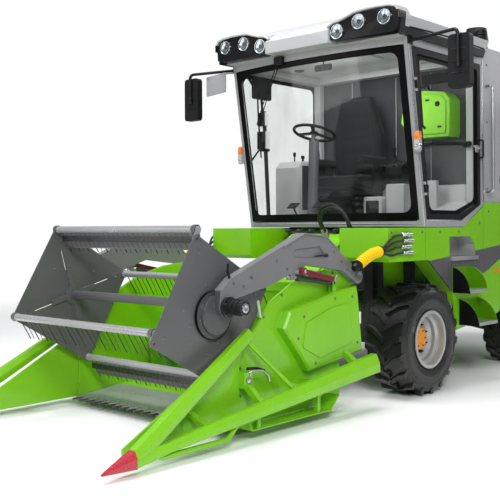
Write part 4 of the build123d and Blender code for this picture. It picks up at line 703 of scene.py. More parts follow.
def piece(name, material, *solids, body="machine", bevel=0.0):
    """Makes the solids one piece that rides on a body."""
    bm = bmesh.new()
    for rings, closed in each(solids):
        skin(bm, rings, closed)
    return settle(name, material, bm, body, bevel)


def hose(name, points, radius, sides=3):
    """Hose along a smooth line with these control points."""
    curve = bpy.data.curves.new(name, "CURVE")
    curve.dimensions = "3D"
    curve.bevel_depth = radius
    curve.bevel_resolution = sides
    curve.use_fill_caps = True
    curve.resolution_u = 8
    spline = curve.splines.new("NURBS")
    spline.points.add(len(points) - 1)
    for point, place in zip(spline.points, points):
        point.co = (*place, 1)
    spline.order_u = 3
    spline.use_endpoint_u = True
    curve.materials.append(HOSE)
    obj = bpy.data.objects.new(name, curve)
    LINK(obj)
    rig.ride(obj, "machine")
    return obj


# Wheels: hub caps, nuts, valves, and raised rings on the tyres' walls
WHEELS = (
    # name, middle x, y, radius, width, rim radius, hub radius, disc x, nuts, nut circle, nut radius
    ("front", 0.840, 0.0, 0.425, 0.350, 0.206, 0.092, 0.870, 8, 0.112, 0.0125),
    ("rear", 0.690, 1.960, 0.335, 0.250, 0.150, 0.058, 0.700, 6, 0.077, 0.010),
)
TYRE_RINGS = (
    # share of the wall's height, half width, rise
    (0.10, 0.006, 0.003), (0.22, 0.003, 0.0016), (0.30, 0.003, 0.0016), (0.66, 0.003, 0.002),
    (0.80, 0.010, 0.0035),
)
RIM_STEPS = (
    # depth, fall below the rim, half thickness
    (0.004, 0.004, 0.007), (0.030, 0.011, 0.006), (0.052, 0.017, 0.005), (0.085, 0.012, 0.006),
)


def around(count, radius, shift=0.0):
    """Places on a circle across X, as seen from its middle."""
    turns = [2 * pi * (k + shift) / count for k in range(count)]
    return [Vector((0, cos(t), sin(t))) * radius for t in turns]


def make_wheel(name, hand, side, middle, y, tyre_r, width, rim_r, hub_r, disc_x, nuts, circle, nut_r):
    body = f"wheel_{name}_{hand}"
    out = Vector((side, 0, 0))
    centre = Vector((0, y, tyre_r))
    face = disc_x + 0.02
    rim = hub_r - 0.004
    cap = ((face - 0.014, rim), (face + 0.018, rim), (face + 0.024, rim - 0.006), (face + 0.024, rim * 0.45),
           (face + 0.028, rim * 0.40), (face + 0.028, rim * 0.16), (face + 0.024, rim * 0.12),
           (face + 0.024, 0))
    paint = ORANGE if name == "front" else FRAME
    piece(f"hub_cap_{name}_{hand}", paint, turned(centre, out, cap, 48), body=body)
    solids = []
    for arm in around(nuts, circle, 0.5):
        place = centre + out * (disc_x + 0.006) + arm
        solids += [turned(place, out, ((-0.002, nut_r * 1.35), (0.004, nut_r * 1.3)), 18),
                   stud(place, out, 0, 0.017, nut_r, nut_r * 0.8, 0.003, 6),
                   stud(place, out, 0.01, 0.034, nut_r * 0.5, nut_r * 0.36, 0.002, 12)]
    for arm in around(6, rim * 0.72):
        solids.append(stud(centre + out * (face + 0.024) + arm, out, -0.001, 0.005, 0.006, 0.005, 0.001, 6))
    lean = Vector((0, cos(2.2), sin(2.2)))
    foot = centre + out * (disc_x + 0.03) + lean * (rim_r - 0.033)
    solids.append(swept((foot, foot + out * 0.02 - lean * 0.006, foot + out * 0.045 - lean * 0.018), 0.0045))
    piece(f"nuts_{name}_{hand}", BLACK, solids, body=body)

    lip_r = rim_r + 0.02
    wall = tyre_r - 0.028 - lip_r
    bulge = ((wall / 2) ** 2 + 0.02 ** 2) / 0.04

    def wall_x(r):
        """Distance of the tyre's outer wall from the middle of the machine at a radius."""
        return middle + width / 2 - bulge + sqrt(bulge ** 2 - (r - lip_r - wall / 2) ** 2)

    solids = []
    for share, half, rise in TYRE_RINGS:
        steps = [(lip_r + share * wall + step * half, lift)
                 for step, lift in ((-1.5, -0.002), (-0.8, rise), (0.8, rise), (1.5, -0.002))]
        solids.append(turned(centre, out, [(wall_x(r) + lift, r) for r, lift in steps], 72, ring=True))
    mark_r = lip_r + 0.72 * wall
    for ray in around(36, 1.0):
        foot = centre + out * (wall_x(mark_r) - 0.001)
        solids.append(swept((foot + ray * (mark_r - 0.008), foot + ray * (mark_r + 0.008)), 0.003, 6))
    piece(f"tyre_rings_{name}_{hand}", RUBBER, solids, body=body)
    mouth = middle + width / 2 - 0.028
    solids = []
    for deep, fall, thick in RIM_STEPS:
        at, r = mouth - deep, rim_r - fall
        solids.append(turned(centre, out, ((at - thick, r + 0.004), (at - thick * 0.6, r - thick * 0.5),
                                           (at + thick * 0.6, r - thick * 0.5), (at + thick, r + 0.004)),
                             64, ring=True))
    solids.append(turned(centre, out, ((disc_x + 0.004, circle + 0.020), (disc_x + 0.010, circle + 0.026),
                                       (disc_x + 0.010, circle + 0.034), (disc_x + 0.002, circle + 0.042)),
                         56, ring=True))
    piece(f"rim_rings_{name}_{hand}", SILVER, solids, body=body)


# Cab: bands and seals round the panes, wiper, lamps and mirrors
LEAN = 0.23 / 1.455
BOW = 0.08
GLASS_HALF = 0.8745
BOW_R = (GLASS_HALF ** 2 + BOW ** 2) / (2 * BOW)


def front_y(z):
    return 0.05 - LEAN * (z - 1.29)


def screen_y(x, z):
    """Outer face of the bowed windscreen."""
    return front_y(z) - BOW + BOW_R - sqrt(BOW_R ** 2 - x ** 2)


def band(outer, inner, place, thickness):
    """Flat ring between two outlines of equally many points; place gives the point on the pane."""
    steps = ((outer, 0), (outer, thickness), (inner, thickness), (inner, 0))
    return [[place(*point, lift) for point in outline] for outline, lift in steps], True


def dense(outline):
    """Outline of rounded corners, with more points on its straight sides."""
    points = []
    for k, point in enumerate(outline):
        after = outline[(k + 1) % len(outline)]
        steps = 12 if k % 7 == 6 else 1
        points += [tuple(a + (b - a) * s / steps for a, b in zip(point, after)) for s in range(steps)]
    return points


def make_panes():
    z_low, z_high, half = 1.342, 2.688, 0.871
    outer = rounded(rectangle((-half, half), (z_low, z_high)), 0.012)
    inner = rounded(rectangle((-half + 0.045, half - 0.045), (z_low + 0.062, z_high - 0.05)), 0.07)
    piece("screen_band", SEAL, band(dense(outer), dense(inner), lambda x, z, lift: Vector(
        (x, screen_y(x, z) - 0.0005 - lift, z)), 0.002))
    piece("screen_seals", SEAL, [swept(
        [(side * 0.8775, front_y(z) - 0.002, z) for z in (1.345, 1.7, 2.1, 2.5, 2.685)], 0.006, 8)
        for side in SIDES])
    # The left side pane is on the door, the right one on the cab
    spans = ((0.107, 1.392, 2.633), (0.056, 1.341, 2.684))
    for (side, hand), body, (inset, low, high) in zip(HANDS, ("door", "machine"), spans):
        edge, core = (rounded((
            (front_y(low) + inset + grow, low + grow), (0.677 - inset / 2 - 0.012 - grow * 0.6, low + grow),
            (1.04 - inset - grow, 1.48 + 0.018 + grow * 0.5), (1.04 - inset - grow, high - grow),
            (front_y(high) + inset + grow, high - grow)), 0.03 + grow) for grow in (0.0, 0.032))
        piece(f"side_band_{hand}", SEAL, [band(
            edge, core, lambda y, z, lift: Vector((side * (face + way * lift), y, z)), 0.0012)
            for face, way in ((0.8992, 1), (0.8905, -1))], body=body)
    strips = [swept([(side * 0.919, front_y(z) + 0.018, z) for z in (1.30, 1.8, 2.3, 2.735)], 0.010, 10, 0.45)
              for side in SIDES]
    piece("pillar_strips", STEEL, strips, both(block((0.913, 0.921), (1.006, 1.030), (1.50, 2.735))),
          bevel=0.002)
    across = [0.9 * (k / 12 - 1) for k in range(25)]
    piece("sill_bead", CABIN, [swept([(x, screen_y(x, z) - 0.001, z) for x in across], 0.006, 8)
                               for z in (1.318, 1.300)])
    # Wiper: motor box at the top, double arm, and a blade that follows the screen
    top = Vector((-0.30, screen_y(-0.30, 2.70) - 0.012, 2.70))
    low = Vector((-0.64, screen_y(-0.64, 2.20) - 0.022, 2.20))
    solids = [block((top.x - 0.045, top.x + 0.045), (top.y - 0.022, top.y + 0.02), (2.668, 2.735)),
              turned(top + Vector((0, 0.01, 0)), (0, -1, 0), ((0, 0.02), (0.03, 0.018), (0.034, 0.012)), 20)]
    for shift in (-0.014, 0.014):
        aside = Vector((shift, 0, 0))
        knee = top.lerp(low, 0.5) + Vector((shift, -0.012, 0))
        solids.append(swept((top + aside, knee, low + aside), 0.0045, 8))
    ends = [(low.x + dx, low.z + dz) for dx, dz in ((-0.02, -0.29), (-0.008, -0.12), (0, 0), (0.012, 0.14),
                                                    (0.03, 0.29))]
    solids += [swept([(x, screen_y(x, z) - lift, z) for (x, z), lift in zip(ends, lifts)],
                     radius, sides, flat)
               for lifts, radius, sides, flat in (((0.010, 0.014, 0.014, 0.014, 0.010), 0.006, 8, 0.6),
                                                  ((0.004,) * 5, 0.0032, 6, 1.0))]
    piece("wipers", BLACK, solids, bevel=0.002)


POD_TOP = ((0.318, 2.862), (0.36, 2.885), (0.43, 2.897), (0.50, 2.918), (0.56, 2.938), (0.64, 2.947),
           (0.76, 2.950), (0.87, 2.946), (0.925, 2.930), (0.950, 2.895), (0.955, 2.850))
POD_LOW = ((0.948, 2.775), (0.90, 2.752), (0.40, 2.752), (0.335, 2.765), (0.312, 2.80))
POD_MIDDLE = (0.635, 2.85)
WORK_LAMPS = ((0.405, 2.823), (0.605, 2.872), (0.835, 2.874))


def pod_y(x):
    return -0.374 + 0.045 * (x - 0.32)


def make_work_lamps():
    """Work lamps in rounded black pods under a white brow, and the lamps on the pillars."""
    shell = [[Vector((POD_MIDDLE[0] + (x - POD_MIDDLE[0]) * grow, pod_y(x) + depth,
                      POD_MIDDLE[1] + (z - POD_MIDDLE[1]) * grow)) for x, z in POD_TOP + POD_LOW]
             for depth, grow in ((0.10, 1.0), (0.006, 1.0), (0.0, 0.985), (0.0, 0.93))]
    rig.replaces(piece("lamp_pod_shells", POD, both((shell, False))), "lamp_pods")
    brow = [(0.300, 2.872)] + [(x, z + 0.020) for x, z in POD_TOP[1:-3]]
    brow += [(0.936, 2.949), (0.9645, 2.905), (0.9645, 2.85)] + [(x, z + 0.003) for x, z in POD_TOP[::-1]]
    rings = [[(x, pod_y(x) + depth, z) for x, z in brow] for depth in (0.14, -0.016)]
    piece("roof_brows", WHITE, both((rings, False)), bevel=0.005)
    bezel, bowl, glass, bulb = [], [], [], []
    front = (0, -1, 0)
    for x, z, side in [(x, z, side) for x, z in WORK_LAMPS for side in SIDES]:
        centre = Vector((side * x, pod_y(x), z))
        bezel.append(turned(centre, front, ((-0.02, 0.0605), (0.012, 0.0605), (0.018, 0.058), (0.018, 0.054),
                                            (0.010, 0.0525), (0.002, 0.0)), 44))
        bowl.append(turned(centre, front, ((0.004, 0.050), (0.0085, 0.050), (0.0085, 0.049), (0.0045, 0.030),
                                           (0.0042, 0.0))))
        glass.append(turned(centre, front, ((0.0125, 0.0535), (0.0165, 0.046), (0.0195, 0.028),
                                            (0.0205, 0.0))))
        bulb.append(turned(centre, front, ((0.004, 0.019), (0.009, 0.018), (0.0115, 0.008), (0.012, 0)), 24))
        for turn in [2 * pi * k / 6 + 0.4 for k in range(6)]:
            bulb.append(swept([centre + Vector((r * cos(turn), -lift, r * sin(turn)))
                               for r, lift in ((0.018, 0.0052), (0.050, 0.0095))], 0.0016, 6))
    piece("lamp_bezels", CHROME, bezel)
    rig.replaces(piece("lamp_bowls", CHROME, bowl), "work_lamps")
    piece("lamp_lenses", LAMP_GLASS, glass)
    piece("lamp_bulbs", FRAME, bulb)
    out = (1, 0, 0)
    rings = [stud((0.9545, -0.057, z), out, -0.004, 0.002, 0.021, 0.019, 0.002, 28) for z in (1.982, 1.918)]
    piece("indicator_rings", CHROME, both(rings))
    for name, material, z, front_z in (("amber", AMBER, 1.982, 1.985), ("clear", CHROME, 1.918, 1.915)):
        piece(f"indicator_{name}", material, both(
            turned((0.957, -0.057, z), out, ((0, 0.0175), (0.005, 0.016), (0.008, 0.010), (0.009, 0)), 28),
            turned((0.935, -0.079, front_z), front, ((-0.002, 0.015), (0.003, 0.014), (0.005, 0.008),
                                                     (0.0055, 0)), 24)))


def make_mirrors():
    """Mirror glass towards the rear, ribs on the heads' fronts, and the plate beside the right pillar."""
    glass, ribs = [], []
    for x in (1.395, -1.395):
        glass.append(plate((x - 0.078, x + 0.078), (2.305, 2.665), 0.022, "y", -0.1905, -0.1885))
        edge = rounded(rectangle((x - 0.083, x + 0.083), (2.300, 2.670)), 0.026)
        ribs += [swept([(a, -0.190, b) for a, b in edge + edge[:1]], 0.004, 6),
                 turned((x, -0.262, 2.47), (0, 0, 1), ((-0.03, 0.019), (0.03, 0.019), (0.034, 0.014)), 20)]
        ribs += [swept(((x - 0.06, -0.2505, z), (x, -0.2525, z), (x + 0.06, -0.2505, z)), 0.004, 6)
                 for z in (2.40, 2.485, 2.57)]
    piece("mirror_glass", MIRROR, glass)
    piece("mirror_ribs", BLACK, ribs)
    corners = rounded(((-1.235, 2.50), (-0.985, 2.52), (-0.985, 2.70), (-1.235, 2.68)), 0.012)
    bolts = [bolt((x, -0.205, z), (0, -1, 0), 0.005, 0.004) for x, z in (
        (-1.21, 2.66), (-1.11, 2.655), (-1.01, 2.67), (-1.21, 2.53), (-1.01, 2.54))]
    piece("side_plate", CABIN, prism(corners, "y", -0.205, -0.199),
          swept(((-0.93, -0.16, 2.69), (-1.0, -0.19, 2.69)), 0.008), bolts, bevel=0.001)
    y = 0.935
    lever = ((0.920, y, 1.955), (0.944, y - 0.004, 1.958), (0.948, y - 0.05, 1.963), (0.946, y - 0.13, 1.968))
    piece("door_lever", STEEL, block((0.913, 0.921), (y - 0.045, y + 0.012), (1.925, 1.985)),
          swept(lever, 0.007, 10, 0.7),
          stud((0.92, y - 0.03, 1.94), (1, 0, 0), 0, 0.004, 0.009, 0.007, 0.001, 20),
          body="door", bevel=0.002)


# Cab inside
def make_controls():
    """Mat, pedals, armrests, and the drum of controls with its consoles beside the seat."""
    piece("floor_mat", MAT, plate((-0.85, 0.52), (0.02, 0.62), 0.04, "z", 1.3405, 1.347), bevel=0.001)
    piece("pedals", BLACK, [
        [swept(((x, 0.14, 1.345), (x, 0.08, 1.41), (x, 0.045, 1.46)), 0.008, 8),
         prism(((0.012, 1.455), (0.075, 1.50), (0.068, 1.508), (0.005, 1.463)), "x", x - width, x + width)]
        for x, width in ((-0.40, 0.05), (-0.12, 0.045), (-0.045, 0.045))], bevel=0.003)
    solids = []
    for side, reach in ((1, 0.33), (-1, 0.30)):
        x = -0.25 + side * 0.275
        solids += [plate((x - 0.042, x + 0.042), (1.86, 1.925), 0.018, "y", 0.80 - reach, 0.82, 4),
                   swept(((x, 0.80, 1.88), (x - side * 0.03, 0.84, 1.86)), 0.022),
                   block((x - 0.012, x + 0.012), (0.66, 0.76), (1.60, 1.865))]
    piece("armrests", CLOTH, solids, bevel=0.006)
    stick = ((0.25, 0.70, 1.86), (0.25, 0.66, 1.93), (0.25, 0.655, 1.99))
    solids = [turned((0, 0.73, 1.775), (1, 0, 0), ((0.17, 0.0), (0.17, 0.06), (0.175, 0.088), (0.19, 0.10),
                                                   (0.31, 0.10), (0.33, 0.088), (0.335, 0.05), (0.338, 0.0))),
              swept(stick, lambda t: 0.010 + 0.010 * t, 14)]
    for turn in [0.6 + 0.5 * k for k in range(5)]:
        solids.append(turned((0.25, 0.73 - 0.098 * cos(turn), 1.775 + 0.098 * sin(turn)),
                             (0, -cos(turn), sin(turn)), ((0, 0.013), (0.014, 0.011), (0.016, 0.006)), 14))
    piece("control_drum", BLACK, solids, bevel=0.002)
    piece("side_consoles", SHELF, plate((0.17, 0.36), (1.344, 1.67), 0.02, "y", 0.64, 0.86, 4),
          plate((-0.03, 0.165), (1.344, 1.56), 0.02, "y", 0.58, 0.84, 4), bevel=0.006)
    piece("console_inlays", BLACK, plate((0.0, 0.135), (1.385, 1.525), 0.012, "y", 0.572, 0.581, 4),
          plate((-0.475, -0.025), (1.348, 1.37), 0.008, "y", 0.47, 0.90, 3), bevel=0.002)


def make_seat_foot():
    """Bellows and tray under the seat, and the levers on the console beside it."""
    plan = rounded(rectangle((-0.20, 0.20), (-0.175, 0.175)), 0.05)
    rings = []
    for k in range(41):
        grow = 1 + 0.075 * (0.5 + 0.5 * cos(2 * pi * 4.5 * k / 40)) ** 0.6
        rings.append([(-0.25 + x * grow, 0.69 + y * grow, 1.372 + 0.265 * k / 40) for x, y in plan])
    piece("seat_bellows", BELLOWS, (rings, False))
    tray = ((-0.485, 1.632), (-0.015, 1.632), (-0.005, 1.652), (-0.015, 1.662), (-0.485, 1.662),
            (-0.495, 1.652))
    piece("seat_tray", BLACK, prism(tray, "y", 0.45, 0.90), bevel=0.003)
    solids = []
    for x, y, tall in ((-0.70, 0.42, 0.09), (-0.66, 0.50, 0.06), (-0.72, 0.56, 0.07)):
        knob = ((tall * 0.6, 0.006), (tall * 0.65, 0.013), (tall, 0.014), (tall + 0.006, 0.008))
        solids.append(turned((x, y, 1.896), (0, 0, 1), ((0, 0.022), (0.006, 0.02), (0.012, 0.007), *knob), 20))
    grip = ((-0.56, 0.60, 1.925), (-0.562, 0.59, 1.97), (-0.565, 0.582, 2.02), (-0.567, 0.575, 2.055))
    piece("levers", BLACK, solids, swept(grip, lambda t: 0.016 + 0.008 * sin(pi * t), 16))


def make_panels():
    """Screens, rear panel, trim, sample case, monitor, handles, ceiling lamps and inner mirror."""
    piece("screens", SCREEN, plate((-0.79, -0.70), (2.012, 2.148), 0.006, "y", 0.007, 0.009, 3),
          plate((-0.782, -0.708), (2.222, 2.318), 0.006, "y", 0.002, 0.004, 3),
          plate((-0.41, -0.19), (1.40, 1.54), 0.012, "y", 0.886, 0.9, 4))
    step = ((0.22, 1.345), (0.54, 1.345), (0.54, 1.70), (0.44, 1.70), (0.44, 1.44), (0.22, 1.44))
    piece("rear_panel", SHELF, plate((-0.56, 0.22), (1.345, 1.64), 0.02, "y", 0.9, 0.93, 4),
          prism(step, "y", 0.88, 0.92), block((-0.04, 0.0), (0.89, 0.9), (1.36, 1.62)),
          [block((-0.40, -0.20), (0.880, 0.888), (1.412 + 0.018 * k, 1.416 + 0.018 * k)) for k in range(7)],
          bevel=0.006)
    piece("inner_trim", SHELF, both(block((0.80, 0.874), (0.94, 0.998), (1.50, 2.69))),
          [block((x - 0.003, x + 0.003), (0.994, 1.0), (1.66, 2.68)) for x in (-0.45, 0.05, 0.42)],
          block((-0.3, 0.3), (0.05, 0.42), (2.735, 2.7448)), bevel=0.006)
    case = ((0.385, 2.07), (0.705, 2.07), (0.715, 2.12), (0.715, 2.40), (0.66, 2.46), (0.46, 2.49),
            (0.29, 2.46), (0.25, 2.40), (0.22, 2.22), (0.26, 2.17))
    lid = [(0.475 + (x - 0.475) * 0.86, 2.28 + (z - 2.28) * 0.86) for x, z in case]
    piece("green_case", GREEN, prism(case, "y", 0.812, 0.998), prism(lid, "y", 0.802, 0.814), bevel=0.006)
    piece("case_fittings", BLACK, turned((0.60, 0.802, 2.36), (0, -1, 0), (
        (-0.004, 0.024), (0.006, 0.023), (0.008, 0.012)), 24),
          [plate((x - 0.02, x + 0.02), (z - 0.008, z + 0.008), 0.006, "y", 0.799, 0.803, 3)
           for x, z in ((0.36, 2.36), (0.50, 2.40), (0.36, 2.20), (0.62, 2.16))],
          swept(((0.30, 0.93, 2.46), (0.34, 0.90, 2.53), (0.44, 0.90, 2.545), (0.47, 0.93, 2.48)), 0.012),
          swept(((0.20, 0.99, 2.02), (0.45, 0.985, 2.035), (0.70, 0.95, 2.02), (0.84, 0.90, 2.0)), 0.014),
          turned((0.83, 0.905, 2.0), (1, -0.6, 0), ((-0.05, 0.022), (0.0, 0.026), (0.045, 0.022)), 16),
          block((0.34, 0.66), (0.97, 0.999), (2.575, 2.66)), bevel=0.002)
    piece("pillar_monitor", BLACK, plate((-0.09, 0.15), (2.45, 2.64), 0.02, "x", -0.775, -0.745, 4),
          swept(((-0.77, 0.03, 2.55), (-0.82, 0.03, 2.55), (-0.85, 0.0, 2.60), (-0.855, -0.05, 2.66)), 0.012),
          swept(((-0.80, -0.06, 1.9), (-0.76, -0.02, 1.98), (-0.74, 0.03, 2.02)), 0.009, 8),
          plate((-0.02, 0.10), (1.98, 2.07), 0.015, "x", -0.755, -0.725, 4), bevel=0.004)
    handles = [swept(((side * 0.868, 0.10, 2.62), (side * 0.84, 0.10, 2.60), (side * 0.84, 0.16, 2.10),
                      (side * 0.868, 0.16, 2.07)), 0.012) for side in SIDES]
    piece("inner_fittings", BLACK, handles,
          [turned((x, 0.40, 2.744), (0, 0, -1), ((0, 0.05), (0.006, 0.048), (0.012, 0.03), (0.013, 0)), 28)
           for x in (-0.62, 0.50)],
          swept(((0, -0.02, 2.74), (0, -0.03, 2.69), (0, -0.03, 2.66)), 0.007, 8),
          plate((-0.09, 0.09), (2.61, 2.665), 0.018, "y", -0.042, -0.028, 4), bevel=0.002)


# Seat: crowned cushions with side bolsters, sewn lines and piping, in place of the plain pads
CUSHION_LEVELS = ((0.0, 0.0), (0.45, 0.6), (1.0, 1.0))
CUSHION_STEPS = 22


def cushion(name, low, high, bolsters, tilt=0.0, taper=0.0):
    """Padded block with a crowned face, raised sides and pulled-in corners; it faces forward if tilted."""
    bm = bmesh.new()
    size = [b - a for a, b in zip(low, high)]
    steps = range(CUSHION_STEPS + 1)
    grids = []
    for level, rise in CUSHION_LEVELS:
        grid = []
        for u in [i / CUSHION_STEPS * 2 - 1 for i in steps]:
            row = []
            for v in [j / CUSHION_STEPS * 2 - 1 for j in steps]:
                crown = (1 - u ** 4) * (1 - v ** 4)
                ridge = bolsters * max(0.0, 1 - ((abs(u) - 0.80) / 0.17) ** 2)
                seams = sum(max(0.0, 1 - abs(abs(v) - line) / 0.035) for line in (0.10, 0.46))
                channel = 0.007 * seams * (abs(u) < 0.6) + 0.008 * max(0.0, 1 - abs(abs(u) - 0.62) / 0.04)
                pull = 1 - 0.035 * (1 - crown) * (1 if level else 0.6) - 0.02 * abs(level - 0.45)
                height = rise * (0.72 + 0.22 * crown ** 0.5)
                height += (ridge - channel) / size[2] * (level == 1.0) * crown ** 0.25
                row.append(bm.verts.new((u / 2 * size[0] * pull * (1 - taper * max(0.0, v)),
                                         v / 2 * size[1] * pull, min(height, 0.985) * size[2])))
            grid.append(row)
        grids.append(grid)
    for grid in (grids[0], grids[2]):
        for near, far in zip(grid, grid[1:]):
            for j in range(CUSHION_STEPS):
                bm.faces.new((near[j], far[j], far[j + 1], near[j + 1]))
    borders = [[row[0] for row in grid[:-1]] + grid[-1][:-1] + [row[-1] for row in grid[:0:-1]]
               + grid[0][:0:-1] for grid in grids]
    for near, far in zip(borders, borders[1:]):
        for k in range(len(near)):
            after = (k + 1) % len(near)
            bm.faces.new((near[k], near[after], far[after], far[k]))
    seam = [vertex.co * 1.002 for vertex in borders[2][::2]]
    bmesh.ops.delete(bm, geom=[vertex for row in grids[1][1:-1] for vertex in row[1:-1]], context="VERTS")
    skin(bm, *swept(seam + seam[:1], 0.0035, 6))
    for vertex in bm.verts:
        x, y, z = vertex.co
        x += (low[0] + high[0]) / 2
        if tilt:
            share = y / size[1] + 0.5
            vertex.co = (x, high[1] - z - 0.010 - 0.035 * share, low[2] + share * tilt)
        else:
            vertex.co = (x, y + (low[1] + high[1]) / 2, z + low[2])
    obj = settle(name, CLOTH, bm, "machine", levels=1)
    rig.padded(obj, fill=0.8)
    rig.slot(obj, "seat_cloth")
    return obj


def make_seat():
    seat = cushion("seat_cushion", (-0.505, 0.452, 1.655), (0.005, 0.885, 1.768), 0.014)
    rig.replaces(seat, "seat_pads")
    cushion("seat_back", (-0.53, 0.2, 1.768), (0.03, 0.900, 0.115 + 1.768), 0.016, tilt=0.745, taper=0.42)


# Body: reflectors, bolts, slats, latches, strips under the straw hood, blank plate, and what stands on top
BODY_BOLTS = (
    (0.915, ((1.50, 0.93), (1.90, 0.98), (2.27, 1.02), (2.27, 1.42), (1.12, 1.42), (1.64, 1.42), (0.30, 1.25),
             (0.60, 1.25), (-0.40, 1.25), (-0.40, 1.09), (0.03, 1.25), (0.96, 1.32))),
    (0.905, ((1.12, 1.62), (1.12, 2.20), (1.12, 2.70), (2.28, 1.62), (2.28, 2.20), (1.70, 2.72),
             (1.70, 1.56))),
    (0.82, ((2.39, 0.95), (2.39, 1.55), (2.39, 2.10), (2.98, 0.95), (2.70, 1.72))),
)
HEADER_BOLTS = (
    (0.860, ((-1.42, 0.56), (-1.36, 0.70), (-1.02, 0.80), (-0.82, 0.80), (-0.76, 0.47), (-1.24, 0.38))),
    (0.7855, ((-1.90, 0.42), (-1.90, 0.25), (-1.80, 0.55), (-1.68, 0.72), (-1.50, 0.85), (-0.95, 0.97))),
)
ARM_BOLTS = (
    (0.850, ((-2.02, 0.955), (-1.86, 0.985), (-1.62, 1.08), (-1.52, 1.02), (-0.86, 0.99), (-1.02, 1.12),
             (-0.93, 1.05), (-1.93, 0.93))),
)


def side_bolts(groups, radius, height):
    """Bolts on both sides: each group holds a distance from the middle, and the places in Y and Z."""
    return both([bolt((x, y, z), (1, 0, 0), radius, height) for x, places in groups for y, z in places])


def make_body():
    out, up = (1, 0, 0), (0, 0, 1)
    piece("side_reflectors", AMBER, both([
        plate((y - 0.040, y + 0.040), (z - 0.022, z + 0.022), 0.018, "x", 0.914, 0.921, 5)
        for y, z in ((1.253, 0.901), (2.20, 1.05))]), bevel=0.002)
    piece("rear_reflectors", RED_LENS, both(plate((0.785, 0.865), (1.10, 1.16), 0.01, "y", 3.06, 3.074, 4)),
          bevel=0.001)
    piece("body_bolts", BOLT, side_bolts(BODY_BOLTS, 0.007, 0.005))
    piece("louvre_slats", PALE, both(
        [block((0.8955, 0.9045), (1.424, 1.976), (1.909 + 0.052 * k, 1.9165 + 0.052 * k)) for k in range(9)],
        [block((0.906, 0.9085), (y - 0.03, y + 0.03), (1.875, 1.885)) for y in (1.45, 1.95)]), bevel=0.001)
    plates, pulls = [], []
    for y in (1.40, 2.18):
        plates.append(plate((y - 0.045, y + 0.045), (1.68, 1.72), 0.008, "x", 0.904, 0.910, 4))
        pulls += [swept(((side * 0.909, y - 0.035, 1.70), (side * 0.914, y, 1.70),
                         (side * 0.912, y + 0.03, 1.70)), 0.006, 8) for side in SIDES]
    cap = turned((0.905, 2.10, 1.95), out, (
        (0, 0.052), (0.003, 0.052), (0.0045, 0.045), (0.009, 0.040), (0.0095, 0.0)), 32)
    piece("latches", BLACK, both(plates, cap), pulls, bevel=0.002)
    strips = []
    for k in range(16):
        x = -0.76 + 1.52 * k / 15
        y = 3.022 - 0.004 * (k % 2)
        strips.append(prism(((x - 0.046, 0.905), (x + 0.046, 0.905), (x + 0.046, 0.66 + 0.012 * (k % 3)),
                             (x - 0.046, 0.66 + 0.012 * ((k + 1) % 3))), "y", y, y + 0.004))
    piece("straw_curtain", MAT, strips, block((-0.79, 0.79), (3.014, 3.030), (0.885, 0.925)))
    piece("blank_plate", SHELF, plate((-0.26, 0.26), (1.00, 1.12), 0.01, "y", 3.066, 3.0755, 4), bevel=0.001)
    # Rings on the exhaust, and the mesh round the air intake
    clamp = ((-0.006, 0.045), (-0.004, 0.0485), (0.004, 0.0485), (0.006, 0.045))
    rings = [turned((-0.72, 1.70, z), up, clamp, 32, ring=True) for z in (2.865, 2.92, 2.985)]
    bars = []
    for turn in [2 * pi * k / 24 for k in range(24)]:
        bars.append(swept([(0.72 + reach * cos(turn), 1.29 + reach * sin(turn), z)
                           for reach, z in ((0.098, 2.972), (0.094, 3.015))], 0.004, 6))
    piece("pipe_fittings", STEEL, rings, bars)
    duct = ((0.848, 1.128, 2.852), (0.850, 1.126, 2.93), (0.845, 1.14, 2.985), (0.80, 1.19, 3.005),
            (0.75, 1.25, 3.0))
    piece("intake_duct", BLACK, corrugated(duct, 0.046, 11),
          stud((0.848, 1.128, 2.850), up, 0, 0.012, 0.060, 0.052, 0.004, 28))
    piece("roof_gutters", SEAL, both(swept(
        [(0.955, y, 2.80 + 0.02 * sin((y + 0.3) * 2.0)) for y in (-0.2, 0.1, 0.4, 0.7, 0.98)], 0.008, 8)))
    # Valve blocks and cross tubes seen under the cab
    piece("valve_blocks", FRAME, both(block((0.50, 0.66), (-0.30, -0.12), (1.13, 1.22)),
                                      block((0.52, 0.60), (-0.36, -0.30), (1.15, 1.20))),
          stud((0.30, -0.02, 1.235), out, 0, 0.16, 0.035, 0.03, 0.005, 24),
          stud((-0.42, 0.02, 1.24), out, 0, 0.5, 0.03, 0.02, 0.005, 20),
          [stud((-0.36 + 0.13 * k, -0.05, 1.262), (0, -1, 0), 0, 0.06, 0.016, 0.012, 0.005, 6)
           for k in range(6)], bevel=0.004)


# Hoses: couplings on the corner boxes, yellow corrugated guards, and the loops in front of the cab
COUPLINGS = ((-0.150, 1.232), (-0.135, 1.188), (-0.165, 1.142), (-0.140, 1.096))
COUPLING = ((0, 0.010), (0.002, 0.015), (0.05, 0.015), (0.053, 0.018), (0.062, 0.018), (0.064, 0.014),
            (0.10, 0.014), (0.103, 0.011), (0.14, 0.011))
LOOP = ((0.16, -0.24, 1.255), (0.15, -0.30, 1.33), (0.184, -0.335, 1.43), (0.25, -0.34, 1.47),
        (0.335, -0.34, 1.475), (0.42, -0.335, 1.42), (0.453, -0.32, 1.34), (0.464, -0.30, 1.26),
        (0.47, -0.26, 1.22))


def mesh_of(line):
    """The mesh that a hose's curve makes."""
    bpy.context.view_layer.update()
    return bpy.data.meshes.new_from_object(line.evaluated_get(bpy.context.evaluated_depsgraph_get()))


def middle_line(line):
    """Points along the middle of a hose."""
    radius, line.data.bevel_depth = line.data.bevel_depth, 0
    thread = mesh_of(line)
    places = [tuple(v.co) for v in thread.vertices]
    bpy.data.meshes.remove(thread)
    line.data.bevel_depth = radius
    return places


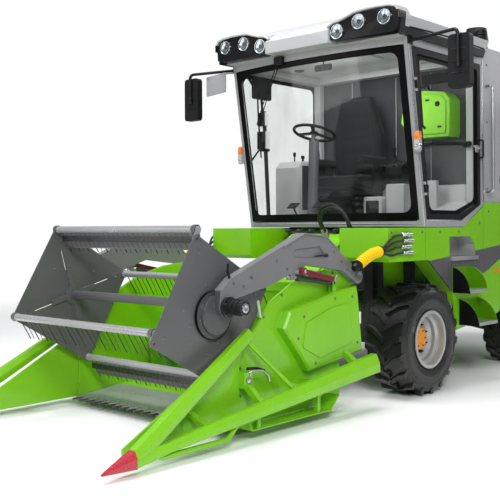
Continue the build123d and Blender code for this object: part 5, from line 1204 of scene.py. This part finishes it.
def bend_hose(line, start, end):
    """Makes a hose a mesh that bends between the machine and the header."""
    mesh = mesh_of(line)
    name = line.name
    bpy.data.objects.remove(line)
    obj = bpy.data.objects.new(name, mesh)
    LINK(obj)
    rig.blend(obj, "machine", "header", start, end)
    return obj


def make_hoses():
    front = (0, -1, 0)
    for side, hand in HANDS:
        x = side * 0.936
        solids = []
        for k, (y, z) in enumerate(COUPLINGS):
            solids += [turned((x, y, z), front, COUPLING, 18),
                       stud((x, y - 0.115, z), front, 0, 0.016, 0.017, 0.014, 0.002, 6),
                       block((side * 0.913, side * 0.93), (y - 0.06, y - 0.03), (z - 0.012, z + 0.012))]
            end = (side * (0.905 + 0.006 * (k % 2)), -0.56, 1.118 - 0.010 * k)
            points = ((x, y - 0.13, z), (x, y - 0.20, z), (x + side * 0.004, -0.44, z - 0.02),
                      (end[0], -0.50, end[2] + 0.012), end)
            line = hose(f"hose_{hand}_{k}", points, 0.0095)
            route = middle_line(line)
            tube = bend_hose(line, (0, -0.40, 1.15), (0, -0.54, 1.12))
            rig.cord(tube, exit=points[0], length=(0.319, 0.314, 0.275, 0.296)[k], diameter=0.019,
                    far_end="object", stiffness="medium", lay="loose", path=route)
        piece(f"couplings_{hand}", STEEL, solids)
        guard = ((side * 0.907, -0.545, 1.112), (side * 0.908, -0.63, 1.100), (side * 0.908, -0.73, 1.065),
                 (side * 0.906, -0.815, 1.022))
        piece(f"hose_guard_{hand}", YELLOW, corrugated(guard, 0.037, 12), body="header")
        ends = ((guard[0], (0, 1, 0.14), ((0.014, 0.036), (0.014, 0.0))),
                (guard[-1], (0, -0.89, -0.45), ((0.014, 0.030), (0.05, 0.024), (0.055, 0.0))))
        piece(f"guard_ends_{hand}", BLACK, [
            turned(place, way, ((-0.006, 0.043), (0.010, 0.043), *tip), 28) for place, way, tip in ends],
              body="header", bevel=0.002)
    for k in range(2):
        line = [(x + 0.03 * k, y - 0.012 * k, z - 0.025 * k * (z > 1.3)) for x, y, z in LOOP]
        loop_hose = hose(f"loop_hose_{k}", line, 0.013, 4)
        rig.cord(loop_hose, exit=line[0], length=(0.682, 0.640)[k], diameter=0.026, far_end="object",
                stiffness="medium", lay="loose")
    piece("loop_fittings", STEEL, [
        turned((x + shift, y, z), way, ((-0.03, 0.017), (0.012, 0.017), (0.016, 0.015), (0.04, 0.015)), 6)
        for x, y, z, way in ((0.175, -0.245, 1.235, (0, -0.3, 1)), (0.485, -0.27, 1.215, (0, -0.4, 1)))
        for shift in (-0.015, 0.018)])


# Header and reel: bolts, safety bars, levers, handles, knife clips, and the bats' sleeves, boards and tines
BAR_ENDS = ((-1.385, 1.004), (-1.06, 0.935))
PLATE_BOLTS = (
    # reach, turn from the spoke, radius, height
    (0.19, 0, 0.008, 0.005), (0.40, 0, 0.008, 0.005), (0.24, -0.45, 0.006, 0.004), (0.24, 0.45, 0.006, 0.004),
)
TINE_LINE = ((0.0, 0), (0.06, 0.001), (0.12, 0.0), (0.158, -0.004), (0.168, -0.008))
BOARD_HALF = 0.0021
TINES_FROM, TINES_SPAN = -0.672, 1.344
BOARD_OUTLINE = ((0.018, -BOARD_HALF), (0.138, -BOARD_HALF), (0.145, -BOARD_HALF - 0.006),
                 (0.145, BOARD_HALF), (0.018, BOARD_HALF))


def make_header():
    out, up = (1, 0, 0), (0, 0, 1)
    piece("header_bolts", BOLT, side_bolts(HEADER_BOLTS, 0.007, 0.005), body="header")
    boss = ((0, 0.036), (0.006, 0.036), (0.008, 0.030), (0.004, 0.018), (0.003, 0.0))
    piece("arm_bolts", BOLT, side_bolts(ARM_BOLTS, 0.008, 0.006),
          both(turned((0.850, -0.73, 0.94), out, boss, 30)), body="arms")
    piece("motor_ring", STEEL, turned((1.0, REEL_Y, REEL_Z), out, (
        (-0.004, 0.028), (0.003, 0.028), (0.006, 0.020), (0.004, 0.012), (0.002, 0.0)), 30), body="arms")
    rib = ((-0.004, 0.044), (-0.003, 0.0495), (0.003, 0.0495), (0.004, 0.044))
    ribs = [turned((x, REEL_Y, REEL_Z), out, rib, 32) for x in (0.895, 0.93, 0.965)]
    heads = [stud((0.874, REEL_Y + 0.054 * cos(turn), REEL_Z + 0.054 * sin(turn)), out, -0.004, 0.008,
                  0.007, 0.005, 0.001, 6) for turn in [pi / 4 + k * pi / 2 for k in range(4)]]
    piece("motor_ribs", BLACK, both(ribs), heads, body="arms")
    for side, hand in HANDS:
        make_header_side(side, hand)
    solids = []
    for x in [-0.70 + 1.40 * k / 18 for k in range(19)]:
        solids += [block((x - 0.012, x + 0.012), (-2.018, -1.972), (0.0712, 0.0765)),
                   stud((x, -1.982, 0.076), up, 0, 0.004, 0.006, 0.004, 0.001, 6)]
    piece("knife_clips", KNIFE, solids, body="header", bevel=0.001)
    sheet = ((-1.965, 0.0635), (-1.60, 0.1022), (-1.60, 0.1042), (-1.965, 0.0665))
    rivets = [turned((-0.70 + 0.14 * k, -1.74, 0.0890), up, ((0, 0.010), (0.003, 0.009), (0.004, 0.005)), 14)
              for k in range(11)]
    piece("table_plate", SHEET, prism(sheet, "x", -0.765, 0.765), rivets, body="header")


def make_header_side(side, hand):
    """Safety bar, levers, rod and handle on one side."""
    out = (side, 0, 0)
    x = side * 0.874
    piece(f"safety_bar_{hand}", WINE, swept([(x, *end) for end in BAR_ENDS], 0.024, 4),
          stud((x - side * 0.018, *BAR_ENDS[0]), out, 0, 0.034, 0.026, 0.022, 0.002, 24),
          body="reel_barrel", bevel=0.003)
    clip = ((x + side * 0.02, -1.06, 0.935), (x + side * 0.026, -1.055, 0.955),
            (x + side * 0.024, -1.04, 0.965))
    piece(f"safety_pins_{hand}", STEEL, swept(clip, 0.004, 8),
          [stud((x - side * 0.020, *end), out, 0, 0.044, 0.013, 0.010, 0.003, 20) for end in BAR_ENDS],
          body="reel_barrel", bevel=0.001)
    lever = ((side * 0.857, -1.10, 1.10), (side * 0.860, -1.16, 1.102), (side * 0.858, -1.24, 1.098))
    stalk = ((side * 0.853, -2.06, 0.99), (side * 0.853, -2.075, 1.03), (side * 0.853, -2.07, 1.08))
    piece(f"arm_levers_{hand}", BLACK, swept(lever, lambda t: 0.010 - 0.006 * t), swept(stalk, 0.008),
          body="arms")
    rod = ((side * 0.795, -1.72, 0.72), (side * 0.797, -1.745, 0.83))
    piece(f"marker_rod_{hand}", WHITE, swept(rod, 0.009, 12), body="header")
    handle = ((side * 0.85, -1.89, 0.40), (side * 0.868, -1.86, 0.41), (side * 0.885, -1.80, 0.405),
              (side * 0.892, -1.755, 0.37), (side * 0.892, -1.745, 0.33))
    piece(f"divider_handle_{hand}", STEEL, swept(handle, 0.007, 12),
          stud((side * 0.845, -1.89, 0.35), out, -0.004, 0.012, 0.022, 0.018, 0.002, 6),
          [bolt((side * 0.845, -1.865, z), out, 0.008, 0.006) for z in (0.32, 0.385)], body="header")
    lever = ((side * 0.85, -1.905, 0.425), (side * 0.862, -1.83, 0.42), (side * 0.872, -1.77, 0.40))
    piece(f"divider_lever_{hand}", BLACK, swept(lever, lambda t: 0.012 - 0.003 * t, 10, 0.7), body="header")


def make_reel():
    bolts, bearings, plate_bolts, blades = [], [], [], []
    control = (REEL_Y - 0.030, REEL_Z - 0.053)
    for index in range(4):
        # Bolts on the right plate's inner face, and on both faces of the left star but for its arms' ends
        for side, ways, across in ((-1, (1,), 0.10), (1, (1, -1), 0.018)):
            bolts += [bolt((side * 0.712 + way * 0.003, *spoke(index, reach, shift)), (way, 0, 0),
                           0.008, 0.006) for reach, shift in ((0.10, 0.0), (0.40, 0.0), (0.22, across))
                      for way in ways if way > 0 or reach < 0.3]
        bearings.append(stud((-0.7275, *spoke(index, BAT_CIRCLE)), (-1, 0, 0), 0, 0.004, 0.026, 0.022,
                             0.002, 28))
        plate_bolts += [bolt((0.749, *spoke(index, reach, 0, turn, control)), (1, 0, 0), radius, height)
                        for reach, turn, radius, height in PLATE_BOLTS]
        slit = rectangle((0.149, 0.331), (-0.0135, 0.0075))
        blades.append(prism([spoke(index, *corner) for corner in slit], "x", -0.7135, -0.7105))
    piece("reel_bolts", BOLT, bolts, body="reel")
    piece("bearing_rings", BLACK, bearings, body="reel")
    piece("plate_bolts", BOLT, plate_bolts, body="control")
    flange = ((0.7695, 0.1445), (0.7715, 0.1450), (0.7715, 0.1485), (0.7535, 0.1490), (0.7535, 0.1445))
    piece("flange_ring", SEAL, turned((0, *control), (1, 0, 0), flange, 64, ring=True), body="arms")
    piece("slit_blades", GREY, blades, body="reel")
    for index in range(4):
        make_bat(index)


def make_bat(index):
    """Tines and sleeve of one bat; every second bat has a board with ribs."""
    out = (1, 0, 0)
    y, z = spoke(index, BAT_CIRCLE)
    body = f"bat_{index + 1}"
    tines = []
    for tine in range(13):
        start = Vector((TINES_FROM + (tine + 0.5) * TINES_SPAN / 13, y, z)) + FALL * 0.01
        tines.append(swept([start + FALL * reach + Vector((0, bend, 0)) for reach, bend in TINE_LINE],
                           lambda t: 0.0026 - 0.0008 * t, 8))
    piece(f"fine_tines_{index + 1}", FRAME, tines, body=body)
    sleeve = turned((0, y, z), out, ((-0.695, SLEEVE_R - 0.001), (-0.694, SLEEVE_R), (0.694, SLEEVE_R),
                                     (0.695, SLEEVE_R - 0.001)), 32)
    collar = ((-0.005, SLEEVE_R), (-0.004, SLEEVE_R + 0.004), (0.004, SLEEVE_R + 0.004), (0.005, SLEEVE_R))
    collars = [turned((x, y, z), out, collar, 28) for x in (-0.688, 0.688)]
    piece(f"bat_sleeve_{index + 1}", BAT, sleeve, collars, body=body)
    if index % 2:
        outline = [(y + FALL.y * reach - FALL.z * half, z + FALL.z * reach + FALL.y * half)
                   for reach, half in BOARD_OUTLINE]
        piece(f"bat_board_{index + 1}", BOARD, prism(outline, "x", -0.688, 0.688), body=body)
        ribs = [swept([Vector((x, y, z)) + FALL * reach for reach in (0.02, 0.08, 0.152)], 0.0037, 8)
                for x in [TINES_FROM + rib * TINES_SPAN / 26 for rib in range(27)]]
        piece(f"board_ribs_{index + 1}", FRAME, ribs, body=body)


# Stage and light
FLOOR_RADIUS = 26
FADE = (4.6, 9.5)
# Height from which and to which the sky brightens, and its strength at both
WORLD_LIGHT = (-0.05, 0.75, 0.15, 0.46)
LAMPS = (
    # name, place, aim, size, power
    ("overhead", (-0.5, -1.5, 7.5), (0, 0, 1), 4, 470),
    ("key", (6.5, -6.5, 5.5), (0.3, -0.6, 1), 2.4, 470),
    ("fill", (-5, -8, 3), (0, -1.5, 1), 4, 90),
    ("rear", (2, 7, 5), (0, 1, 1), 4, 90),
    ("cab_top", (0, 0.25, 2.72), (0, 0.3, 1.3), 0.9, 13),
    ("cab_front", (0, -0.10, 2.50), (0, 0.9, 1.7), 0.5, 6),
)


def make_stage():
    """Pale floor that melts into a white surround away from the machine, so that only the shadow shows."""
    bm = bmesh.new()
    bmesh.ops.create_circle(bm, cap_ends=True, segments=96, radius=FLOOR_RADIUS)
    mesh = bpy.data.meshes.new("floor")
    bm.to_mesh(mesh)
    bm.free()
    floor = bpy.data.objects.new("floor", mesh)
    LINK(floor)
    floor.location.z = -0.001
    look = Look("floor")
    cover = look.add("BsdfDiffuse")
    grain = look.span(look.noise(0.8, 3), 0.3, 0.7)
    look.links.new(look.mix(grain, (0.90, 0.90, 0.90), (0.93, 0.93, 0.93)), cover.inputs["Color"])
    distance = look.add("VectorMath", operation="LENGTH")
    look.links.new(look.here(), distance.inputs[0])
    fade = look.span(distance.outputs["Value"], *FADE)
    look.blend(fade, cover.outputs["BSDF"], look.add("BsdfTransparent").outputs["BSDF"])
    mesh.materials.append(look.material)
    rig.stage(floor)


def make_world():
    """White to the camera; for the light, a sky that brightens with height."""
    world = bpy.data.worlds.new("surround")
    bpy.context.scene.world = world
    world.use_nodes = True
    nodes = world.node_tree.nodes
    links = world.node_tree.links
    nodes.clear()
    seen, light = (nodes.new("ShaderNodeBackground") for _ in range(2))
    seen.inputs["Color"].default_value = (1, 1, 1, 1)
    light.inputs["Color"].default_value = (0.95, 0.97, 1, 1)
    split = nodes.new("ShaderNodeSeparateXYZ")
    links.new(nodes.new("ShaderNodeTexCoord").outputs["Generated"], split.inputs[0])
    rise = nodes.new("ShaderNodeMapRange")
    for name, number in zip(("From Min", "From Max", "To Min", "To Max"), WORLD_LIGHT):
        rise.inputs[name].default_value = number
    links.new(split.outputs[2], rise.inputs["Value"])
    links.new(rise.outputs[0], light.inputs["Strength"])
    mix = nodes.new("ShaderNodeMixShader")
    links.new(nodes.new("ShaderNodeLightPath").outputs["Is Camera Ray"], mix.inputs["Fac"])
    links.new(light.outputs["Background"], mix.inputs[1])
    links.new(seen.outputs["Background"], mix.inputs[2])
    links.new(mix.outputs["Shader"], nodes.new("ShaderNodeOutputWorld").inputs["Surface"])


def make_lights():
    for name, place, aim, size, power in LAMPS:
        lamp = bpy.data.objects.new(name, bpy.data.lights.new(name, "AREA"))
        LINK(lamp)
        lamp.location = place
        lamp.rotation_euler = (Vector(aim) - Vector(place)).to_track_quat("-Z", "Y").to_euler()
        lamp.data.size = size
        lamp.data.energy = power
        lamp.visible_camera = lamp.visible_glossy = not name.startswith("cab")


make_camera()
dress_nodes()
for name, *sizes in WHEELS:
    for side, hand in HANDS:
        make_wheel(name, hand, side, *sizes)
make_panes()
make_work_lamps()
make_mirrors()
make_controls()
make_seat_foot()
make_panels()
make_seat()
make_body()
make_hoses()
make_header()
make_reel()
make_stage()
make_world()
make_lights()
bpy.context.scene.view_settings.view_transform = "Standard"

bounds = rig.bounds()
with open("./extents.json", "w") as out:
    json.dump({"cad": [list(map(float, corner)) for corner in CAD_BOX],
               "visual": [list(map(float, corner)) for corner in bounds]}, out)
